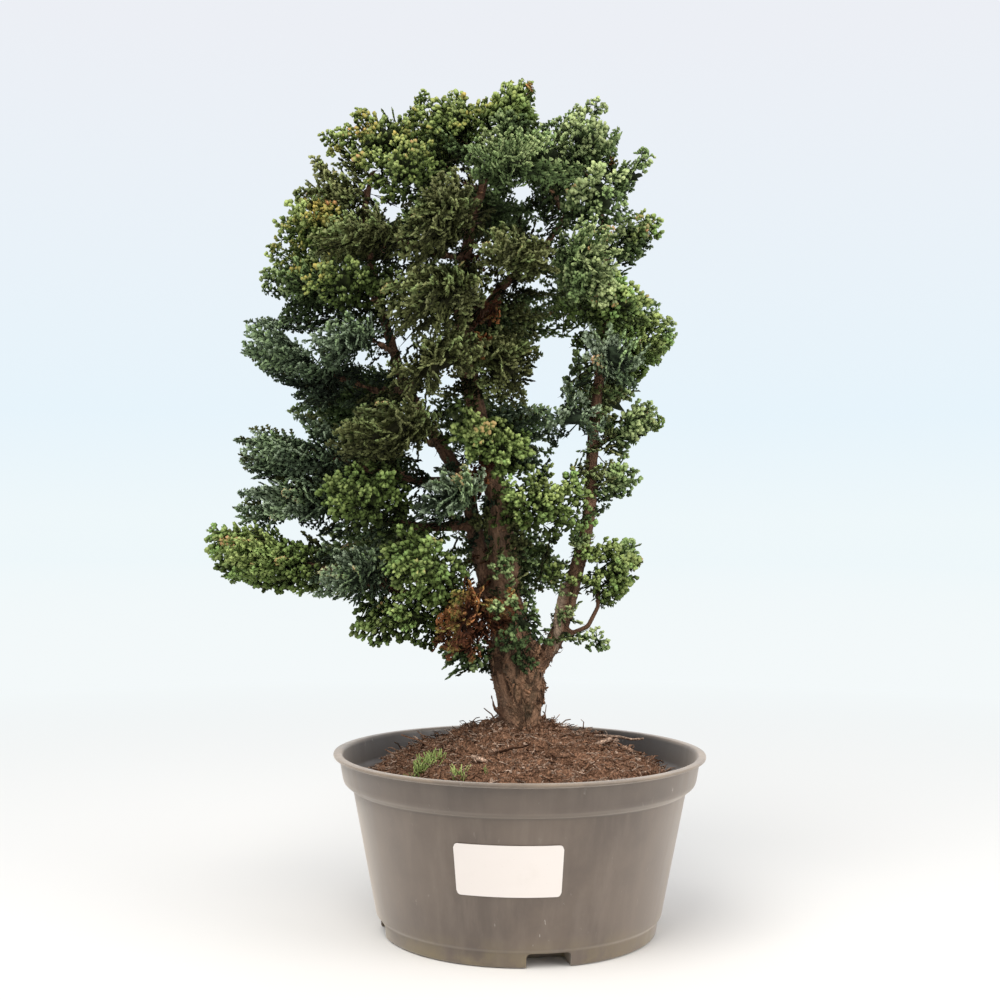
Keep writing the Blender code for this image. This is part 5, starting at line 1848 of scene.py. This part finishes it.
def make_stalks(feet, tops, ups):
    """Thin stalks from the wood to the shoots: corners, triangles, freshness and tint."""
    way = tops - feet
    length = np.linalg.norm(way, axis=1)
    thick = np.full(len(length), STALK_THICK)
    sizes = np.stack((length + 2, thick, thick), axis=1)
    which = np.full(len(length), BUD)
    corners, triangles, _, _ = repeat(leaf_shapes, which, feet, turns_of(way, ups), sizes)
    plain = np.full(len(corners), STALK_FRESH)
    return corners, triangles, plain, plain


def grow_between():
    """Grows the shoots between the sprays, as one piece for each colour."""
    rng = np.random.default_rng(SEED)
    cores = [read_spray(node)[1] for node in sprays]
    hearts = np.array([core.mean(axis=0) for core in cores])
    reaches = np.array([np.linalg.norm(core - core.mean(axis=0), axis=1).mean() for core in cores])
    places, share, gaps, fills = growth_places(rng)
    kept = thinned(places, gaps, fills, hearts, reaches)
    places, share = places[kept], share[kept]
    wood = nearest_wood(places)
    way, far = shoot_ways(places, wood, rng)
    starts = places - way * np.clip(far * 0.9, SHOOT_LEAST, rng.uniform(*SHOOT_MOST, far.shape))
    free = free_fronds(starts, places)
    starts, ends, wood, share = starts[free], places[free], wood[free], share[free]
    tufts = [grow_tuft(*row[:5], rng) for row in TUFTS]
    starts = np.concatenate([starts] + [start for start, _ in tufts])
    ends = np.concatenate([ends] + [end for _, end in tufts])
    wood = np.concatenate((wood, nearest_wood(starts[len(wood):])))
    share = np.concatenate((share, np.ones(len(ends) - len(share))))
    kinds, beside = growth_kinds(ends, share, hearts, rng)
    by_hand = [row[5] for row in TUFTS for _ in range(row[4])]
    kinds[len(kinds) - len(by_hand):] = by_hand
    # Painted light and shade: fresher on the side facing the key light, and darker nearer the middle of the
    # crown's depth.
    lift = painted_sunlight(ends, hearts[beside], *GROWTH_LIFT) * np.clip(0.6 + 0.5 * share, 0, 1)
    hand_made = np.arange(len(ends)) >= len(ends) - len(by_hand)
    covered = edge_distance(seen((starts + wood) / 2)) > STALK_MARGIN
    stalked = hand_made | covered & (np.linalg.norm(starts - wood, axis=1) < STALK_MOST)
    knobbed = ((kinds == "bright") & (ends[:, 1] < KNOBS_UP_TO) | hand_made) & (kinds != "rust")
    made = 0
    for kind in LEAF_COLOURS:
        own = kinds == kind
        if not own.any():
            continue
        leaves = []
        for form, part in (("coral", own & knobbed), ("fern", own & ~knobbed)):
            if part.any():
                ups = outward(ends[part]) + rng.normal(0, GROWTH_TWIST, (part.sum(), 3))
                leaves.append(place_fronds(form, starts[part], ends[part], ups, lift[part], rng))
        own &= stalked
        leaves.append(make_stalks(wood[own], starts[own], outward(ends[own])))
        made += finish_leaves(f"growth_{kind}", stacked(leaves), [], kind)
    print(len(ends), "shoots between the sprays,", made, "triangles")


grow_between()

# %% [markdown]
# ### Weeds in the soil
# Nothing says "grown outdoors" like a few weeds. Tufts of moss-like blades and pale seedlings stand at
# the front left of the mound. Each is a handful of leaning blades, turned and sized by a rule. A row of
# the list gives a tuft's x and y, the number of its blades, their height, how far they spread, and how
# fresh they are.

# %% Plant the weeds
WEEDS = [(-55, -46, 60, 9.0, 7.0, 0.72), (-49, -40, 36, 8.5, 6.0, 0.66), (-63, -52, 16, 6.0, 5.0, 0.75),
         (-36, -62, 12, 8.5, 3.5, 1.0), (-33, -63, 8, 7.0, 3.0, 1.0), (-20, -66, 6, 4.5, 3.0, 0.9)]
BLADE_BREADTH = 0.9


def plant_weeds():
    """The blades of all the tufts: corners, triangles, freshness and tint."""
    rng = np.random.default_rng(SEED + 9)
    rows = np.array([row for row in WEEDS for _ in range(row[2])], dtype=float)
    count = len(rows)
    lean = rng.normal(0, 0.45, (count, 3))
    lean[:, 2] = 1.0
    flat = rows[:, :2] + rng.normal(0, 1, (count, 2)) * rows[:, 4:5] * 0.5
    ground = np.array([mound_height(x, y) for x, y in flat])
    tall = rows[:, 3] * rng.uniform(0.5, 1.0, count)
    sizes = np.stack((tall, tall * BLADE_BREADTH, tall * BLADE_BREADTH), axis=1)
    turns = turns_of(lean, rng.normal(0, 1, (count, 3)))
    blades = [model_sprout(bow) for bow in (0.15, -0.3)]
    which = rng.integers(0, len(blades), count)
    places = np.column_stack((flat, ground))
    made, faces, owner, local = repeat(blades, which, places, turns, sizes)
    fresh_and_lit = rows[owner, 5] * (0.75 + 0.35 * np.clip(local[:, 0], 0, 1))
    return made, faces, fresh_and_lit, rng.uniform(0.45, 0.7, count)[owner]


print("triangles on the weeds:", finish_leaves("soil_weeds", plant_weeds(), [], "bright"))
